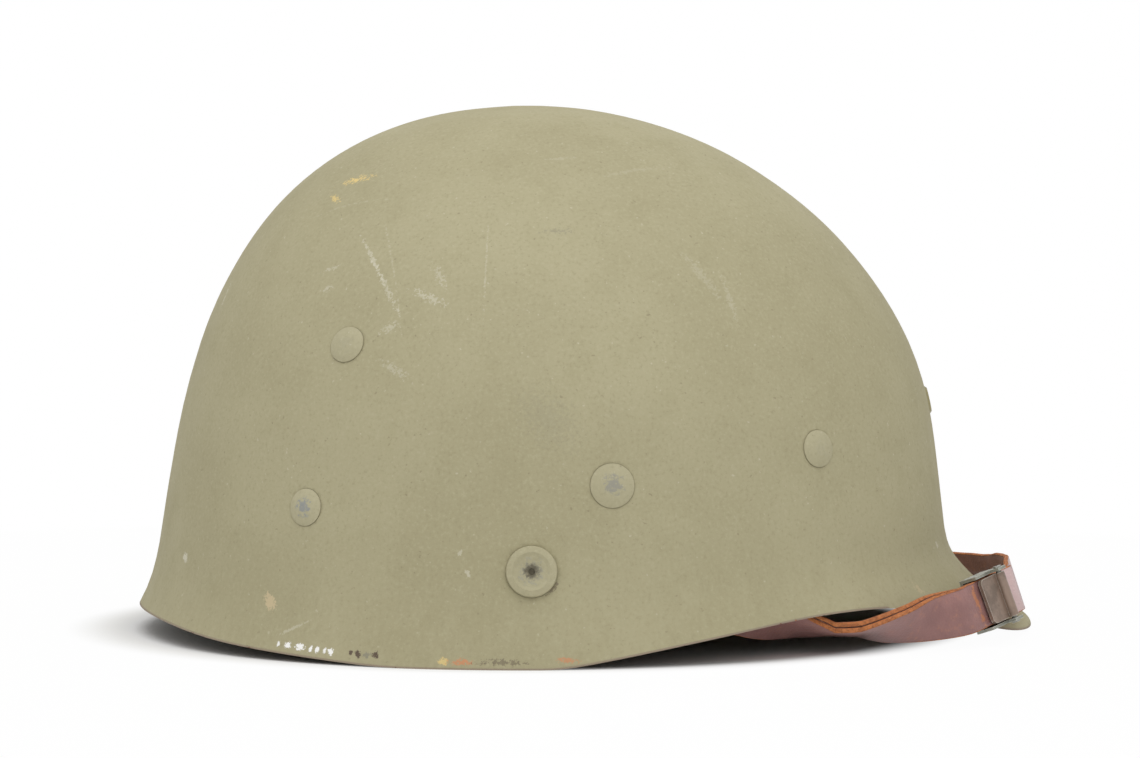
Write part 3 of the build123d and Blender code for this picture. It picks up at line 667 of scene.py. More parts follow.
@dataclass
class SmoothRoute:
    """Smooth curve through points, with its direction set at both ends."""

    points: list[Vector]
    first: Vector
    last: Vector

    def __post_init__(self) -> None:
        """Works out how fast the curve passes each point."""
        self.gaps = [(b - a).length for a, b in zip(self.points, self.points[1:])]
        count = len(self.points)
        slopes = [self.first.normalized()] + [None] * (count - 2) + [self.last.normalized()]
        ratio, rest = [0.0] * count, [slopes[0]] + [None] * (count - 1)
        for i in range(1, count - 1):
            before, after = self.gaps[i - 1], self.gaps[i]
            pull = (self.points[i] - self.points[i - 1]) * (after / before)
            pull = (pull + (self.points[i + 1] - self.points[i]) * (before / after)) * 3.0
            weight = 2 * (before + after) - after * ratio[i - 1]
            ratio[i] = before / weight
            rest[i] = (pull - rest[i - 1] * after) / weight
        for i in range(count - 2, 0, -1):
            slopes[i] = rest[i] - slopes[i + 1] * ratio[i]
        self.slopes = slopes
        self.length = sum(self.gaps)

    def at(self, share: float) -> tuple[Vector, Vector]:
        """Place and direction on the curve.

        Args:
            share: 0 at its start and 1 at its end.

        Returns:
            The place and the unit direction.
        """
        left = min(max(share, 0.0), 1.0) * self.length
        i = 0
        while i < len(self.gaps) - 1 and left > self.gaps[i]:
            left -= self.gaps[i]
            i += 1
        gap = self.gaps[i]
        t = left / gap
        a, b = self.points[i], self.points[i + 1]
        start, end = self.slopes[i] * gap, self.slopes[i + 1] * gap
        place = a * (2 * t ** 3 - 3 * t ** 2 + 1) + start * (t ** 3 - 2 * t ** 2 + t)
        place += b * (3 * t ** 2 - 2 * t ** 3) + end * (t ** 3 - t ** 2)
        way = a * (6 * t ** 2 - 6 * t) + start * (3 * t ** 2 - 4 * t + 1)
        way += b * (6 * t - 6 * t ** 2) + end * (3 * t ** 2 - 2 * t)
        return place, way.normalized()


@dataclass
class Strip:
    """One stop along a strap: its middle, its way, its width's way and its outer side."""

    place: Vector
    along: Vector
    across: Vector
    outward: Vector
    offset: float = 0.0

    def moved(self, offset: float) -> "Strip":
        """The same stop with another offset from the middle."""
        return Strip(self.place, self.along, self.across, self.outward, offset)

    def back(self) -> "Strip":
        """The same stop walked the other way, with the same outer side."""
        return Strip(self.place, self.along * -1, self.across * -1, self.outward, self.offset)

    def turned(self) -> "Strip":
        """The same stop with its other side out."""
        return Strip(self.place, self.along, self.across * -1, self.outward * -1, -self.offset)

    def flipped(self) -> "Strip":
        """The left side's stop from the right side's, still walked forwards along the loop."""
        along, outward = self.along * MIRROR * -1, self.outward * MIRROR
        return Strip(self.place * MIRROR, along, outward.cross(along), outward, self.offset)

    def at(self, across: float, out: float) -> Vector:
        """The place, in metres, that lies so many millimetres across and out from the stop."""
        return (self.place + self.across * across + self.outward * (self.offset + out)) * MM


def strip_at(place: Vector, along: Vector, lean: float) -> Strip:
    """A stop whose width stands up and leans.

    Args:
        place: Its place.
        along: Its way.
        lean: Degrees that its top leans outwards.

    Returns:
        The stop.
    """
    side = along.cross(Vector((0, 0, 1))).normalized()
    up = side.cross(along).normalized()
    turn = math.radians(lean)
    outward = side * math.cos(turn) - up * math.sin(turn)
    return Strip(place, along, outward.cross(along), outward)


@dataclass
class Chinstrap:
    """One leather strap, from its cut end through the buckle, round the right hook, round the visor and over
    the left hook.

    The sizes are in millimetres. Each row of the two runs is a place and how many degrees the top of the
    strap leans outwards there.
    """

    thickness: float = 1.6
    width: float = 14.0
    corner: float = 0.45
    layer: float = 0.88
    spread: float = 1.9
    start: Vector = field(default_factory=lambda: Vector((4.86, -100.92, 23.32)))
    start_way: Vector = field(default_factory=lambda: Vector((0.985683, 0.058584, -0.158104)))
    start_out: Vector = field(default_factory=lambda: Vector((0.081112, -0.98682, 0.140029)))
    rear: tuple = (
        (29.09, -92.43, 18.34, 4.0), (49.13, -86.0, 12.76, 18.0), (64.07, -80.03, 8.93, 66.0),
        (72.09, -77.69, 7.60, 80.0), (80.10, -77.92, 7.60, 78.0), (89.65, -75.47, 8.40, 50.0),
    )
    front: tuple = (
        (102.29, -67.39, 10.00, 14.0), (113.69, -59.79, 11.39, -18.0), (126.48, -40.83, 14.82, -18.0),
        (130.18, -22.11, 15.71, -15.0), (131.95, 0.0, 15.15, -15.0), (130.64, 22.11, 13.72, -15.0),
        (127.56, 38.03, 11.96, -15.0), (115.23, 56.51, 11.01, -13.0), (102.29, 67.39, 9.60, 14.0),
    )
    hook_flat: float = 4.4
    stop_mm: float = 1.6
    buckle_stops: int = 12
    fold_stops: int = 12
    tail: float = 16.9
    fold: float = 22.0
    sway: float = 0.072
    ripple: float = 0.042
    swell: float = 0.004
    orange: Colour = tone(196, 128, 84)
    pale: Colour = tone(208, 180, 178)

    def leaned(self, table: list[tuple[float, float]], value: float) -> float:
        """Lean at a value of a rising table.

        Args:
            table: Pairs of a value and a lean.
            value: Where.

        Returns:
            The lean in degrees.
        """
        for (x0, y0), (x1, y1) in zip(table, table[1:]):
            if value <= x1:
                return y0 + (y1 - y0) * max(0.0, (value - x0) / (x1 - x0))
        return table[-1][1]

    def rear_stops(self) -> list[Strip]:
        """Lays out the right side's run.

        Returns:
            Stops from the hook's bar to the front of the bend.
        """
        points = [Vector(row[:3]) for row in self.rear]
        ahead = Vector(self.front[0][:3]) - points[-2]
        route = SmoothRoute([self.start, *points], self.start_way, ahead)
        lean = -math.degrees(math.asin(self.start_out.z))
        table = [(self.start.x, lean), (self.start.x + self.hook_flat, lean)]
        table += [(row[0], row[3]) for row in self.rear]
        count = round(route.length / self.stop_mm)
        stops = [Strip(self.start, self.start_way, self.start_out.cross(self.start_way), self.start_out)]
        for i in range(1, count + 1):
            place, along = route.at(i / count)
            stops.append(strip_at(place, along, self.leaned(table, place.x)))
        return stops

    def front_stops(self, last: Strip) -> tuple[list[Strip], list[Strip]]:
        """Stops from the bend to the buckle's far end, and from there round the visor to the left bend.

        Args:
            last: The bend's front stop on the right.

        Returns:
            The two runs of stops.
        """
        points = [Vector(row[:3]) for row in self.front]
        left = last.flipped()
        table = [(last.place.y, self.rear[-1][3])] + [(row[1], row[3]) for row in self.front]
        table.append((left.place.y, self.rear[-1][3]))
        gap = points[2] - points[1]
        straight = gap.normalized()
        lead = SmoothRoute([last.place, points[0], points[1]], last.along, straight)
        on = SmoothRoute([*points[2:], left.place], straight, left.along)

        def stop(place: Vector, along: Vector) -> Strip:
            """A stop with the lean of its place."""
            inner = abs(place.y) < -points[1].y
            return strip_at(place, along, self.front[2][3] if inner else self.leaned(table, place.y))

        steps = self.buckle_stops
        first = [stop(*lead.at(i / steps)) for i in range(1, steps)]
        first += [stop(points[1] + gap * (i / steps), straight) for i in range(steps + 1)]
        count = round(on.length / self.stop_mm)
        onward = [stop(*on.at(i / count)) for i in range(1, count)]
        return first, onward + [left]

    def spread_out(self, stops: list[Strip], sign: float) -> list[Strip]:
        """A layer of the rear run, wider apart at the hook.

        Args:
            stops: The run's stops.
            sign: 1 for the outer layer and -1 for the inner one.

        Returns:
            The layer's stops.
        """
        count = len([s for s in stops if s.place.x <= self.rear[1][0]])
        gaps = [self.spread + (self.layer - self.spread) * min(1.0, i / count) for i in range(len(stops))]
        return [stop.moved(sign * gap) for stop, gap in zip(stops, gaps)]

    def fold_round(self, stop: Strip) -> list[Strip]:
        """Stops round the hook's bar, from the outer layer to the inner one.

        Args:
            stop: The stop at the bar, walked away from the hook.

        Returns:
            The stops of the fold.
        """
        made = []
        for i in range(1, self.fold_stops):
            angle = math.pi * i / self.fold_stops
            outward = stop.outward * math.cos(angle) - stop.along * math.sin(angle)
            along = stop.along * -math.cos(angle) - stop.outward * math.sin(angle)
            made.append(Strip(stop.place, along, outward.cross(along), outward, self.spread))
        return made

    def route(self) -> list[Strip]:
        """Lays out the whole strap, walked with the grain side outwards.

        Returns:
            Every stop from the cut end to the folded end.
        """
        rear = self.rear_stops()
        lead, onward = self.front_stops(rear[-1])
        middle = (Vector(self.front[1][:3]) + Vector(self.front[2][:3])) / 2
        after = [s for s in onward[:12] if (s.place - middle).length <= self.tail]
        outer, inner = self.spread_out(rear, 1.0), self.spread_out(rear, -1.0)
        doubled = outer + [s.moved(self.layer) for s in lead + after]
        path = [s.back() for s in reversed(doubled)] + self.fold_round(rear[0])
        path += [s.turned() for s in inner + [s.moved(-self.layer) for s in lead + onward]]
        path += [s.flipped().turned() for s in reversed(inner[:-1])]
        path += [s.back() for s in reversed(self.fold_round(rear[0].flipped().back()))]
        ahead, run = [s.flipped() for s in outer], 0.0
        for before, stop in zip([ahead[0]] + ahead, ahead):
            run += (stop.place - before.place).length
            if run <= self.fold:
                path.append(stop.back())
        return path

    def rubs(self) -> tuple[Mark, ...]:
        """Finds the places that look different along the strap.

        Returns:
            Where the buckle has rubbed the leather, and the pale cut end beyond it.
        """
        start, end = Vector(self.front[1][:3]), Vector(self.front[2][:3])
        middle, along = (start + end) / 2, (end - start).normalized()
        turn = tuple(along.to_track_quat("X", "Z").to_euler())
        rows = (
            (-8.6, 0.0, (1.0, 7.0, 9.0), self.orange, 0.7, 0.9),
            (-21.0, -3.5, (1.5, 2.0, 1.6), self.orange, 0.5, 0.7),
            (13.0, 0.0, (6.6, 14.0, 14.0), self.pale, 0.85, 0.15),
        )
        return tuple(Mark((middle + along * ahead + Vector((0.0, 0.0, up))) * MM, turn,
                          tuple(v * MM for v in half), colour, strength, ragged)
                     for ahead, up, half, colour, strength, ragged in rows)

    def section(self) -> list[tuple[float, float, float]]:
        """Rounded outline of the leather.

        Returns:
            Places across and out, with 1 where it is a raw edge.
        """
        flat, thick = self.width / 2 - self.corner, self.thickness / 2 - self.corner
        rows = []
        for side, out in ((1, 1), (-1, 1), (-1, -1), (1, -1)):
            for k in (0, 1, 2) if side == out else (2, 1, 0):
                angle = math.pi / 4 * k
                across = side * (flat + self.corner * math.cos(angle))
                raw = 1.0 if abs(across) > flat + self.corner * 0.4 else 0.0
                rows.append((across, out * (thick + self.corner * math.sin(angle)), raw))
        return rows

    def build(self, leather: Material) -> bpy.types.Object:
        """Makes the strap.

        Args:
            leather: Its material.

        Returns:
            The strap.
        """
        section = self.section()
        bm = bmesh.new()
        depth = bm.verts.layers.float.new("raw_edge")
        back = bm.verts.layers.float.new("flesh")
        row = list(bmesh.ops.create_circle(bm, cap_ends=True, radius=MM, segments=len(section))["verts"])
        for index, stop in enumerate(self.route()):
            if index:
                loop = [bm.edges.get((a, b)) for a, b in zip(row, row[1:] + row[:1])]
                grown = bmesh.ops.extrude_edge_only(bm, edges=loop)["geom"]
                new = {v for v in grown if isinstance(v, bmesh.types.BMVert)}
                row = [next(e.other_vert(v) for e in v.link_edges if e.other_vert(v) in new) for v in row]
            wave = self.sway * math.sin(index * 0.37) + self.ripple * math.sin(index * 0.91 + 1.0)
            wide = 1 + self.swell * math.sin(index * 0.53)
            for vert, (across, out, raw) in zip(row, section):
                vert.co = stop.at(across * wide + wave * raw, out)
                vert[depth] = raw
                vert[back] = 1.0 if out < 0 else 0.0
        bmesh.ops.contextual_create(bm, geom=[bm.edges.get((a, b)) for a, b in zip(row, row[1:] + row[:1])])
        bmesh.ops.recalc_face_normals(bm, faces=bm.faces[:])
        made = piece_from(bm, "chinstrap_leather")
        dress(made, leather)
        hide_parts("chinstrap_rear_left", "chinstrap_rear_right", "chinstrap_bend_left",
                    "chinstrap_bend_right", "chinstrap_front", "chinstrap_doubled")
        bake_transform(made)
        return made


@dataclass
class OvalBand:
    """Band on an oval: webbing or leather, with rounded edges."""

    node: str
    body: str
    slot: str
    thickness: float
    gap: float = 0.0
    columns: int = 220
    rows: int = 14
    wave: float = 0.15
    inset: float = 0.2
    soft_share: float = 0.3

    def build(self, material: Material) -> None:
        """Makes the band inside its CAD node's own box.

        Args:
            material: Its material.
        """
        low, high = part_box(self.node)
        middle, half = (low + high) / 2, (high - low) / 2
        thick, inset = self.thickness * MM, self.inset * MM
        bm = bmesh.new()
        bmesh.ops.create_circle(bm, segments=self.columns, radius=1.0)
        step = (high.z - low.z - 2 * inset) / self.rows
        for vert in bm.verts:
            angle = math.atan2(vert.co.y, vert.co.x)
            vert.co = Vector((middle.x + math.cos(angle) * (half.x - thick / 2),
                              middle.y + math.sin(angle) * (half.y - thick / 2), low.z + inset))
        loop = bm.edges[:]
        for _ in range(self.rows):
            grown = bmesh.ops.extrude_edge_only(bm, edges=loop)["geom"]
            new = {v for v in grown if isinstance(v, bmesh.types.BMVert)}
            bmesh.ops.translate(bm, verts=list(new), vec=(0.0, 0.0, step))
            loop = [e for e in grown if isinstance(e, bmesh.types.BMEdge) and new.issuperset(e.verts)]
        if self.gap:
            away = [f for f in bm.faces if f.calc_center_median().x < middle.x
                    and abs(f.calc_center_median().y) < self.gap * MM]
            bmesh.ops.delete(bm, geom=away, context="FACES")
        cloth = bm.loops.layers.uv.new("weave")
        reach = (half.x + half.y) / 2
        for face in bm.faces:
            centre = face.calc_center_median() - middle
            turn = math.atan2(centre.y / half.y, centre.x / half.x)
            for corner in face.loops:
                place = corner.vert.co - middle
                angle = math.atan2(place.y / half.y, place.x / half.x)
                angle += round((turn - angle) / math.tau) * math.tau
                corner[cloth].uv = (corner.vert.co.z, angle * reach)
        for vert in bm.verts:
            angle = math.atan2(vert.co.y - middle.y, vert.co.x - middle.x)
            level = (vert.co.z - low.z) / (high.z - low.z)
            ripple = math.sin(angle * 9 + 0.7) * (1 - level) + 0.5 * math.sin(angle * 17 + level * 3)
            flat = Vector((vert.co.x - middle.x, vert.co.y - middle.y, 0.0)).normalized()
            vert.co -= flat * abs(self.wave * MM * ripple)
        bmesh.ops.recalc_face_normals(bm, faces=bm.faces[:])
        if sum(f.normal.dot(f.calc_center_median() - middle) for f in bm.faces) < 0:
            bmesh.ops.reverse_faces(bm, faces=bm.faces[:])
        made = piece_from(bm, self.node + "_cloth")
        dress(made, material)
        wall = made.modifiers.new("wall", "SOLIDIFY")
        wall.thickness, wall.offset, wall.use_even_offset = thick, 0.0, True
        soft = made.modifiers.new("soft_edges", "BEVEL")
        soft.width, soft.segments = thick * self.soft_share, 2
        soft.limit_method, soft.angle_limit = "ANGLE", math.radians(40)
        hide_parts(self.node)
        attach(made, self.body)


@dataclass
class SoftCopy:
    """Webbing or cord taken from its CAD route, with softened edges and its own map."""

    node: str
    body: str
    slot: str
    edge: float
    across: Vector = field(default_factory=lambda: Vector((0.0, 1.0, 0.0)))
    flat_degrees: float = 1.5
    bevel_degrees: float = 50.0
    sharp_degrees: float = 62.0
    crown_share: float = 0.6

    def build(self, material: Material) -> None:
        """Makes the piece.

        Args:
            material: Its material.
        """
        bm = bmesh.new()
        bm.from_mesh(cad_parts[self.node].data)
        bmesh.ops.remove_doubles(bm, verts=bm.verts[:], dist=0.00002)
        flat = math.radians(self.flat_degrees)
        bmesh.ops.dissolve_limit(bm, angle_limit=flat, verts=bm.verts[:], edges=bm.edges[:])
        if self.edge:
            bmesh.ops.bevel(bm, geom=edges_over(bm, self.bevel_degrees), offset=self.edge * MM,
                            offset_type="OFFSET", segments=2, profile=0.5, affect="EDGES", material=-1,
                            clamp_overlap=True)
        bmesh.ops.triangulate(bm, faces=[f for f in bm.faces if len(f.verts) > 4])
        cloth = bm.loops.layers.uv.new("weave")
        side = Vector((self.across.x, self.across.y, 0.0)).normalized()
        inward = Vector((-side.y, side.x, 0.0))
        for face in bm.faces:
            for corner in face.loops:
                place = corner.vert.co
                corner[cloth].uv = (place.dot(side), place.z - abs(place.dot(inward)) * self.crown_share)
        for edge in edges_over(bm, self.sharp_degrees):
            edge.smooth = False
        made = piece_from(bm, self.node + "_cloth")
        dress(made, material)
        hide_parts(self.node)
        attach(made, self.body)


@dataclass
class Stitching:
    """Rows of stitches that hold the leather sweatband to its web."""

    node: str
    body: str
    slot: str
    levels: tuple[float, ...]
    inset: float
    gap: float
    count: int = 118
    half_size: Size = (1.35, 0.28, 0.28)
    end_gap: float = 2.0

    def build(self, thread: Material) -> None:
        """Makes the stitches.

        Args:
            thread: Their material.
        """
        low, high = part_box(self.node)
        middle, half = (low + high) / 2, (high - low) / 2
        size = Matrix.Diagonal((*(v * MM for v in self.half_size), 1.0))
        bm = bmesh.new()
        for level in self.levels:
            for i in range(self.count):
                angle = math.tau * (i + 0.5) / self.count
                place = Vector((middle.x + math.cos(angle) * (half.x - self.inset * MM),
                                middle.y + math.sin(angle) * (half.y - self.inset * MM),
                                low.z + (high.z - low.z) * level))
                if place.x < middle.x and abs(place.y) < (self.gap + self.end_gap) * MM:
                    continue
                way = Vector((-math.sin(angle) * half.x, math.cos(angle) * half.y, 0.0)).normalized()
                turn = way.to_track_quat("X", "Z").to_matrix().to_4x4()
                bmesh.ops.create_uvsphere(bm, u_segments=6, v_segments=4, radius=1.0,
                                          matrix=Matrix.Translation(place) @ turn @ size)
        made = piece_from(bm, self.node + "_stitches")
        dress(made, thread)
        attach(made, self.body)


@dataclass
class LinerShell:
    """The moulded shell and its painted fittings, kept as the CAD has them and given their finishes.

    The sizes are in metres, apart from the shares.
    """

    paint: LinerPaint
    view: PhotoView
    yellow: Colour = tone(220, 196, 132)
    chalk: Colour = tone(206, 202, 182)
    smudge: Colour = tone(140, 136, 118)
    tan: Colour = tone(204, 186, 150)
    bare: Colour = tone(244, 243, 240)
    dark: Colour = tone(84, 68, 60)
    orange: Colour = tone(206, 134, 92)
    grey: Colour = tone(150, 148, 138)
    rim_zone: float = 0.07
    rim_reach: float = 0.06
    core_height: float = 0.03
    edge_top: float = 0.018
    edge_down: float = -0.45
    edge_tilt: float = 0.01
    visor_half: float = 0.03
    visor_share: float = 0.97
    side_share: float = 0.85
    front_reach: float = 0.154
    back_reach: float = 0.119
    side_reach: float = 0.117
    head_depth: float = 0.004
    head_core: float = 0.035
    head_side: float = 1.3

    def rim_distance(self) -> None:
        """Keeps each point's distance from the rim's edge, and whether it is on the inside."""
        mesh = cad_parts["liner_shell"].data
        spots = [v.co for v in mesh.vertices]
        tree = BVHTree.FromPolygons(spots, [tuple(p.vertices) for p in mesh.polygons if self.on_edge(p)])
        core = Vector((DOME_X, 0.0, self.core_height))
        lean = [0.0] * len(spots)
        for polygon in mesh.polygons:
            facing = polygon.normal.dot((polygon.center - core).normalized()) * polygon.area
            for index in polygon.vertices:
                lean[index] += facing
        away = []
        for spot in spots:
            found = tree.find_nearest(spot)[3] if spot.z < self.rim_zone else self.rim_reach
            away.append(min(found, self.rim_reach) / MM)
        keep(mesh, "rim_mm", away)
        keep(mesh, "inside", [1.0 if value < 0 else 0.0 for value in lean])

    def on_edge(self, polygon: bpy.types.MeshPolygon) -> bool:
        """Whether a face is part of the rim's cut edge, which runs straight across the liner.

        Args:
            polygon: The face.

        Returns:
            True for the cut edge.
        """
        middle, normal = polygon.center, polygon.normal
        low = normal.z < self.edge_down and middle.z < self.edge_top and abs(normal.y) < self.edge_tilt
        share = self.visor_share if abs(middle.y) < self.visor_half else self.side_share
        return low and self.outside(middle) > share

    def outside(self, spot: Vector) -> float:
        """How far out a spot is in plan, where 1 is about the rim."""
        reach = self.front_reach if spot.x > DOME_X else self.back_reach
        return math.hypot((spot.x - DOME_X) / reach, spot.y / self.side_reach)

    def heads(self) -> dict[str, list[Mark]]:
        """Finds the painted heads on the right side.

        Returns:
            Each node's heads, as marks of their own size.
        """
        made = {}
        for node in ("suspension_rivets", "side_rivets", "nape_rivets", "chinstrap_stud_right"):
            made[node] = []
            bm = bmesh.new()
            bm.from_mesh(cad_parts[node].data)
            bmesh.ops.remove_doubles(bm, verts=bm.verts[:], dist=0.00001)
            left = set(bm.verts)
            while left:
                group, todo = [], [left.pop()]
                while todo:
                    vert = todo.pop()
                    group.append(vert.co)
                    new = {edge.other_vert(vert) for edge in vert.link_edges} & left
                    left -= new
                    todo += new
                if sum(c.y for c in group) < 0:
                    made[node].append(self.head_mark(group))
            bm.free()
        return made

    def head_mark(self, spots: list[Vector]) -> Mark:
        """Mark of one head: its outermost spots' middle and radius.

        Args:
            spots: The points of the rivet or stud.

        Returns:
            The mark.
        """
        middle = sum(spots, Vector()) / len(spots)
        up = max(0.0, middle.z - self.head_core)
        axis = Vector((middle.x - DOME_X, middle.y * self.head_side, up)).normalized()
        top = max(s.dot(axis) for s in spots)
        outer = [s for s in spots if s.dot(axis) > top - self.head_depth]
        centre = sum(outer, Vector()) / len(outer)
        radius = max((s - centre).length for s in outer)
        return Mark(centre, (0.0, 0.0, 0.0), (radius, radius, radius), self.chalk)

    def scuffs(self) -> list[Scuff]:
        """Scuffs and chips that the photograph shows.

        Returns:
            The scuffs, each from a row of a start and an end in pixels, a width in millimetres, how strong it
            is and how ragged.
        """
        groups = (
            (self.yellow, ((348, 182, 366, 178, 2.6, 0.75, 1.1), (353, 180, 358, 180, 1.6, 0.9, 0.8),
                           (333, 197, 337, 201, 1.7, 0.8, 0.9))),
            (self.chalk, ((365, 243, 380, 275, 0.9, 0.55, 1.1), (376, 268, 394, 304, 1.1, 0.5, 1.2),
                          (387, 233, 400, 320, 0.6, 0.28, 1.1), (420, 294, 440, 302, 1.5, 0.5, 1.25),
                          (437, 270, 443, 284, 1.8, 0.4, 1.3), (488, 232, 484, 302, 0.6, 0.3, 1.0))),
            (self.smudge, ((545, 231, 568, 231, 1.3, 0.45, 1.0), (540, 410, 558, 428, 12.0, 0.18, 0.9))),
            (self.tan, ((268, 598, 272, 606, 3.8, 0.8, 0.45),)),
            (self.chalk, ((184, 556, 187, 559, 1.0, 0.9, 0.5), (152, 571, 155, 574, 1.0, 0.8, 0.5),
                          (459, 552, 461, 554, 0.5, 0.5, 0.5), (466, 571, 470, 577, 0.4, 0.6, 0.5),
                          (281, 634, 307, 622, 0.45, 0.4, 0.7))),
            (self.bare, ((278, 643.6, 279, 643.8, 0.8, 0.9, 0.4), (286, 644.6, 290, 645.6, 1.2, 1.0, 0.4),
                         (297, 646.6, 303, 647.6, 1.2, 1.0, 0.5), (310, 648.8, 311, 649, 1.0, 1.0, 0.4),
                         (316, 649.8, 318, 650, 1.1, 1.0, 0.4), (324, 650.8, 325, 651, 0.9, 0.9, 0.4),
                         (329, 651.4, 332, 651.8, 1.1, 1.0, 0.5))),
            (self.dark, ((350, 652.6, 351, 653, 1.0, 0.9, 0.4), (356, 653.8, 359, 654.2, 1.1, 0.9, 0.5))),
            (self.smudge, ((364, 654.8, 369, 655.2, 1.1, 0.9, 0.6),)),
            (self.dark, ((374, 654.6, 377, 655.2, 1.1, 0.9, 0.5), (548, 594, 557, 583, 0.5, 0.5, 0.7))),
            (self.yellow, ((440, 661.4, 446, 661.8, 1.0, 0.8, 0.6),)),
            (self.orange, ((452, 661.8, 470, 662.6, 0.7, 0.7, 1.0),)),
            (self.dark, ((480, 663, 522, 664, 0.6, 0.5, 1.0),)),
            (self.orange, ((560, 660, 576, 661, 0.7, 0.6, 0.9),)),
            (self.chalk, ((690, 262, 714, 290, 2.2, 0.22, 1.2), (725, 285, 735, 315, 1.6, 0.25, 1.2))),
            (self.tan, ((915, 586, 921, 591, 2.0, 0.4, 0.9),)),
            (self.chalk, ((936, 544, 938, 546, 0.8, 0.6, 0.5), (223, 302, 229, 288, 1.3, 0.6, 1.1),
                          (610, 175, 660, 168, 1.4, 0.16, 0.9), (323, 272, 336, 267, 0.7, 0.4, 1.2),
                          (324, 290, 330, 288, 0.9, 0.45, 1.2), (384, 330, 396, 324, 1.3, 0.4, 1.3),
                          (386, 364, 404, 376, 1.0, 0.35, 1.3), (322, 214, 380, 200, 0.5, 0.2, 1.2),
                          (545, 160, 570, 158, 0.9, 0.2, 1.2))),
        )
        return [Scuff(row[:2], row[2:4], row[4], colour, *row[5:]) for colour, rows in groups for row in rows]

    def build(self) -> None:
        """Dresses the shell, the rivets and the studs."""
        self.rim_distance()
        tree = surface("liner_shell")
        marks = [mark for mark in (self.view.mark(tree, scuff) for scuff in self.scuffs()) if mark]
        heads = self.heads()
        every = [mark for group in heads.values() for mark in group]
        dress_node("liner_shell", self.paint.shell("liner_paint", marks, every))
        fittings = (
            ("suspension_rivets", "rivet_paint", self.grey, 0.1, 0.0),
            ("side_rivets", "side_rivet_paint", self.grey, 0.85, 0.0),
            ("nape_rivets", "nape_rivet_paint", tone(140, 144, 146), 0.8, 0.0),
            ("chinstrap_stud_left", "stud_paint_left", self.grey, 0.0, 0.0),
            ("chinstrap_stud_right", "stud_paint", tone(150, 150, 142), 0.5, 0.9),
        )
        for node, name, metal, worn, hole in fittings:
            dress_node(node, self.paint.fitting(name, heads.get(node, []), metal, worn, hole))
        log.info("shell: %d marks, %d heads", len(marks), len(every))


def dress_node(node: str, material: Material) -> None:
    """Gives a kept CAD node its material."""
    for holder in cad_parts[node].material_slots:
        holder.material = material


@dataclass
class Hardware:
    """Hooks, washers, clips, adjuster and buckle, kept as the CAD has them."""

    metals: tuple[Metal, ...] = (
        Metal("blackened_steel", tone(62, 60, 55), tone(48, 46, 42), tone(136, 132, 120), 0.55, 0.5, 0.3),
        Metal("plated_steel", tone(150, 150, 144), tone(120, 118, 108), tone(186, 184, 176), 0.85, 0.38, 0.4),
        Metal("eyelet_brass", tone(150, 142, 104), tone(128, 120, 88), tone(190, 160, 96), 0.35, 0.5, 0.6),
        Metal("buckle_bronze", tone(144, 124, 110), tone(120, 104, 92), tone(202, 194, 182), 0.4, 0.36, 0.0),
        Metal("buckle_zinc", tone(158, 160, 148), tone(128, 128, 118), tone(200, 200, 192), 0.55, 0.42, 0.1),
    )

    def build(self) -> None:
        """Dresses each of them."""
        washers = [f"washer_{place}_{side}" for place in PLACES for side in SIDES]
        groups = (
            ["chinstrap_hook_left", "chinstrap_hook_right", "sweatband_adjuster", *washers],
            ["rivet_burrs", "sweatband_clips", "clip_rivets", "chinstrap_fold_rivet", "buckle_pin"],
            ["front_eyelet", "eyelet_washer"], ["buckle_clamp"], ["buckle_channel"],
        )
        for metal, nodes in zip(self.metals, groups):
            material = metal.material()
            for node in nodes:
                dress_node(node, material)
            log.info("%s: %s", metal.name, ", ".join(nodes))


@dataclass
class Suspension:
    """Crown straps, lace, head band, nape strap and sweatband."""

    cotton: Webbing = Webbing()
    lace: Webbing = Webbing(tone(156, 148, 116), tone(104, 98, 72), tone(92, 82, 58))
    linen: Webbing = Webbing(tone(178, 170, 140), tone(140, 132, 104), tone(130, 120, 92))
    lining: StrapLeather = StrapLeather(tone(122, 82, 52), tone(92, 60, 38), tone(150, 108, 74),
                                        tone(150, 108, 74))
    adjuster_gap: float = 17.0

    def build(self) -> None:
        """Makes and dresses every piece."""
        web = self.cotton.material("cotton_webbing", 620.0, 760.0)
        cord = self.lace.material("cotton_lace", 900.0, 520.0)
        leather = self.lining.material("sweatband_leather_grain", 0.46)
        thread = self.linen.material("linen_thread", 900.0, 900.0)
        for node in (f"crown_strap_{place}_{side}" for place in PLACES for side in SIDES):
            low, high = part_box(node)
            run = self.foot(node) - (low + high) / 2
            across = Vector((-run.y, run.x, 0.0)).normalized()
            SoftCopy(node, "liner", "webbing", 0.3, across).build(web)
        SoftCopy("nape_strap", "liner", "webbing", 0.35, Vector((1.0, 0.0, 0.0))).build(web)
        SoftCopy("crown_lace", "liner", "lace_cotton", 0.0).build(cord)
        SoftCopy("lace_knot", "liner", "lace_cotton", 0.0).build(cord)
        OvalBand("head_band", "liner", "webbing", 1.4).build(web)
        OvalBand("sweatband_web", "sweatband", "webbing", 1.2).build(web)
        band = OvalBand("sweatband_leather", "sweatband", "sweat_leather", 1.6, self.adjuster_gap,
                        columns=260, rows=20, wave=0.3)
        band.build(leather)
        Stitching(band.node, band.body, band.slot, (0.06, 0.94), 1.75, band.gap).build(thread)
        log.info("suspension: straps, lace, bands and stitches")

    def foot(self, node: str) -> Vector:
        """Middle of a strap's lowest 3 mm.

        Args:
            node: The strap.

        Returns:
            The middle.
        """
        spots = [v.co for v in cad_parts[node].data.vertices]
        low = min(s.z for s in spots) + 3 * MM
        feet = [s for s in spots if s.z < low]
        return sum(feet, Vector()) / len(feet)


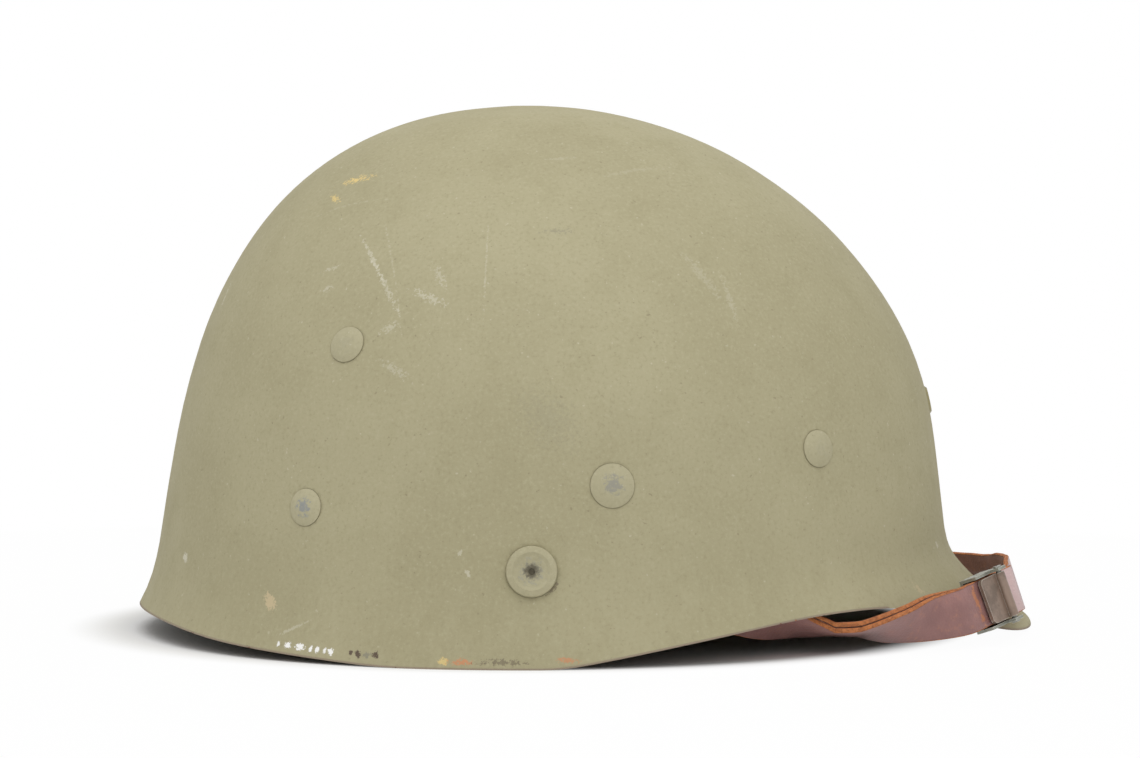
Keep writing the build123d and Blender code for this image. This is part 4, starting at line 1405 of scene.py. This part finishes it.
@dataclass
class Studio:
    """White floor and soft light. The floor shows the object's shadow inside an oval, and white beyond it."""

    floor_mm: float = 9000.0
    oval: Size = (0.134, 0.122, 1.0)
    oval_back: float = 0.02
    floor_colour: Colour = (0.84, 0.84, 0.835, 1.0)
    sky_colour: Colour = (1.0, 0.995, 0.985, 1.0)
    sky: float = 0.62
    lamp_aim: Vector = field(default_factory=lambda: Vector((0.0, 0.0, 0.07)))

    def build(self) -> None:
        """Makes the floor, the lamps and the sky."""
        bm = bmesh.new()
        bmesh.ops.create_grid(bm, x_segments=1, y_segments=1, size=self.floor_mm * MM)
        floor = piece_from(bm, "floor", False)
        kit = Finish("floor_white")
        kit.finish(self.floor_colour, 0.9, Specular_IOR_Level=0.0)
        shift = kit.node("VectorMath", {0: kit.place(), 1: (self.oval_back, 0.0, 0.0)}, operation="ADD")
        inside = kit.stretch(shift.outputs[0], tuple(1 / half for half in self.oval))
        away = kit.node("VectorMath", {0: inside}, operation="LENGTH").outputs["Value"]
        far = kit.calc(Sum.MOST, kit.span(away, 0.9, 1.05, 0.0, 0.97), kit.span(away, 1.0, 3.0))
        white = kit.node("Emission", {"Color": WHITE, "Strength": 1.0})
        share = kit.times(far, kit.seen())
        both = kit.node("MixShader", {0: share, 1: kit.shader.outputs[0], 2: white.outputs[0]})
        kit.feed(kit.output.inputs[0], both.outputs[0])
        floor.data.materials.append(kit.material)
        self.lamp("overhead", Vector((-0.05, -0.5, 1.7)), 1.6, 15.0)
        self.lamp("side_fill", Vector((0.5, -1.9, 0.9)), 1.3, 3.6)
        self.world()
        log.info("studio: floor, two lamps and sky")

    def lamp(self, name: str, place: Vector, size: float, power: float) -> None:
        """A square soft lamp that faces the object.

        Args:
            name: Its name.
            place: Where it stands.
            size: Side in metres.
            power: Watts.
        """
        data = bpy.data.lights.new(name, "AREA")
        data.size, data.energy = size, power
        made = bpy.data.objects.new(name, data)
        made.location = place
        made.rotation_euler = (self.lamp_aim - place).to_track_quat("-Z", "Y").to_euler()
        bpy.context.scene.collection.objects.link(made)

    def world(self) -> None:
        """White where it is seen and a soft light elsewhere."""
        made = bpy.data.worlds.new("studio")
        bpy.context.scene.world = made
        made.use_nodes = True
        kit = Nodes(made.node_tree)
        soft = kit.node("Background", {0: self.sky_colour, 1: self.sky}).outputs[0]
        white = kit.node("Background", {0: WHITE, 1: 1.0}).outputs[0]
        both = kit.node("MixShader", {0: kit.seen(), 1: soft, 2: white}).outputs[0]
        kit.node("OutputWorld", {0: both})
        bpy.context.scene.view_settings.view_transform = "Standard"


def main() -> None:
    """Builds the liner's visible pieces, their finishes and the studio."""
    view = PhotoView()
    view.build()
    LinerShell(LinerPaint(), view).build()
    Hardware().build()
    Suspension().build()
    chinstrap = Chinstrap()
    strap = chinstrap.build(StrapLeather().material("strap_leather_grain", 0.32, chinstrap.rubs()))
    log.info("chinstrap: %d points", len(strap.data.vertices))
    Studio().build()


if __name__ == "__main__":
    main()
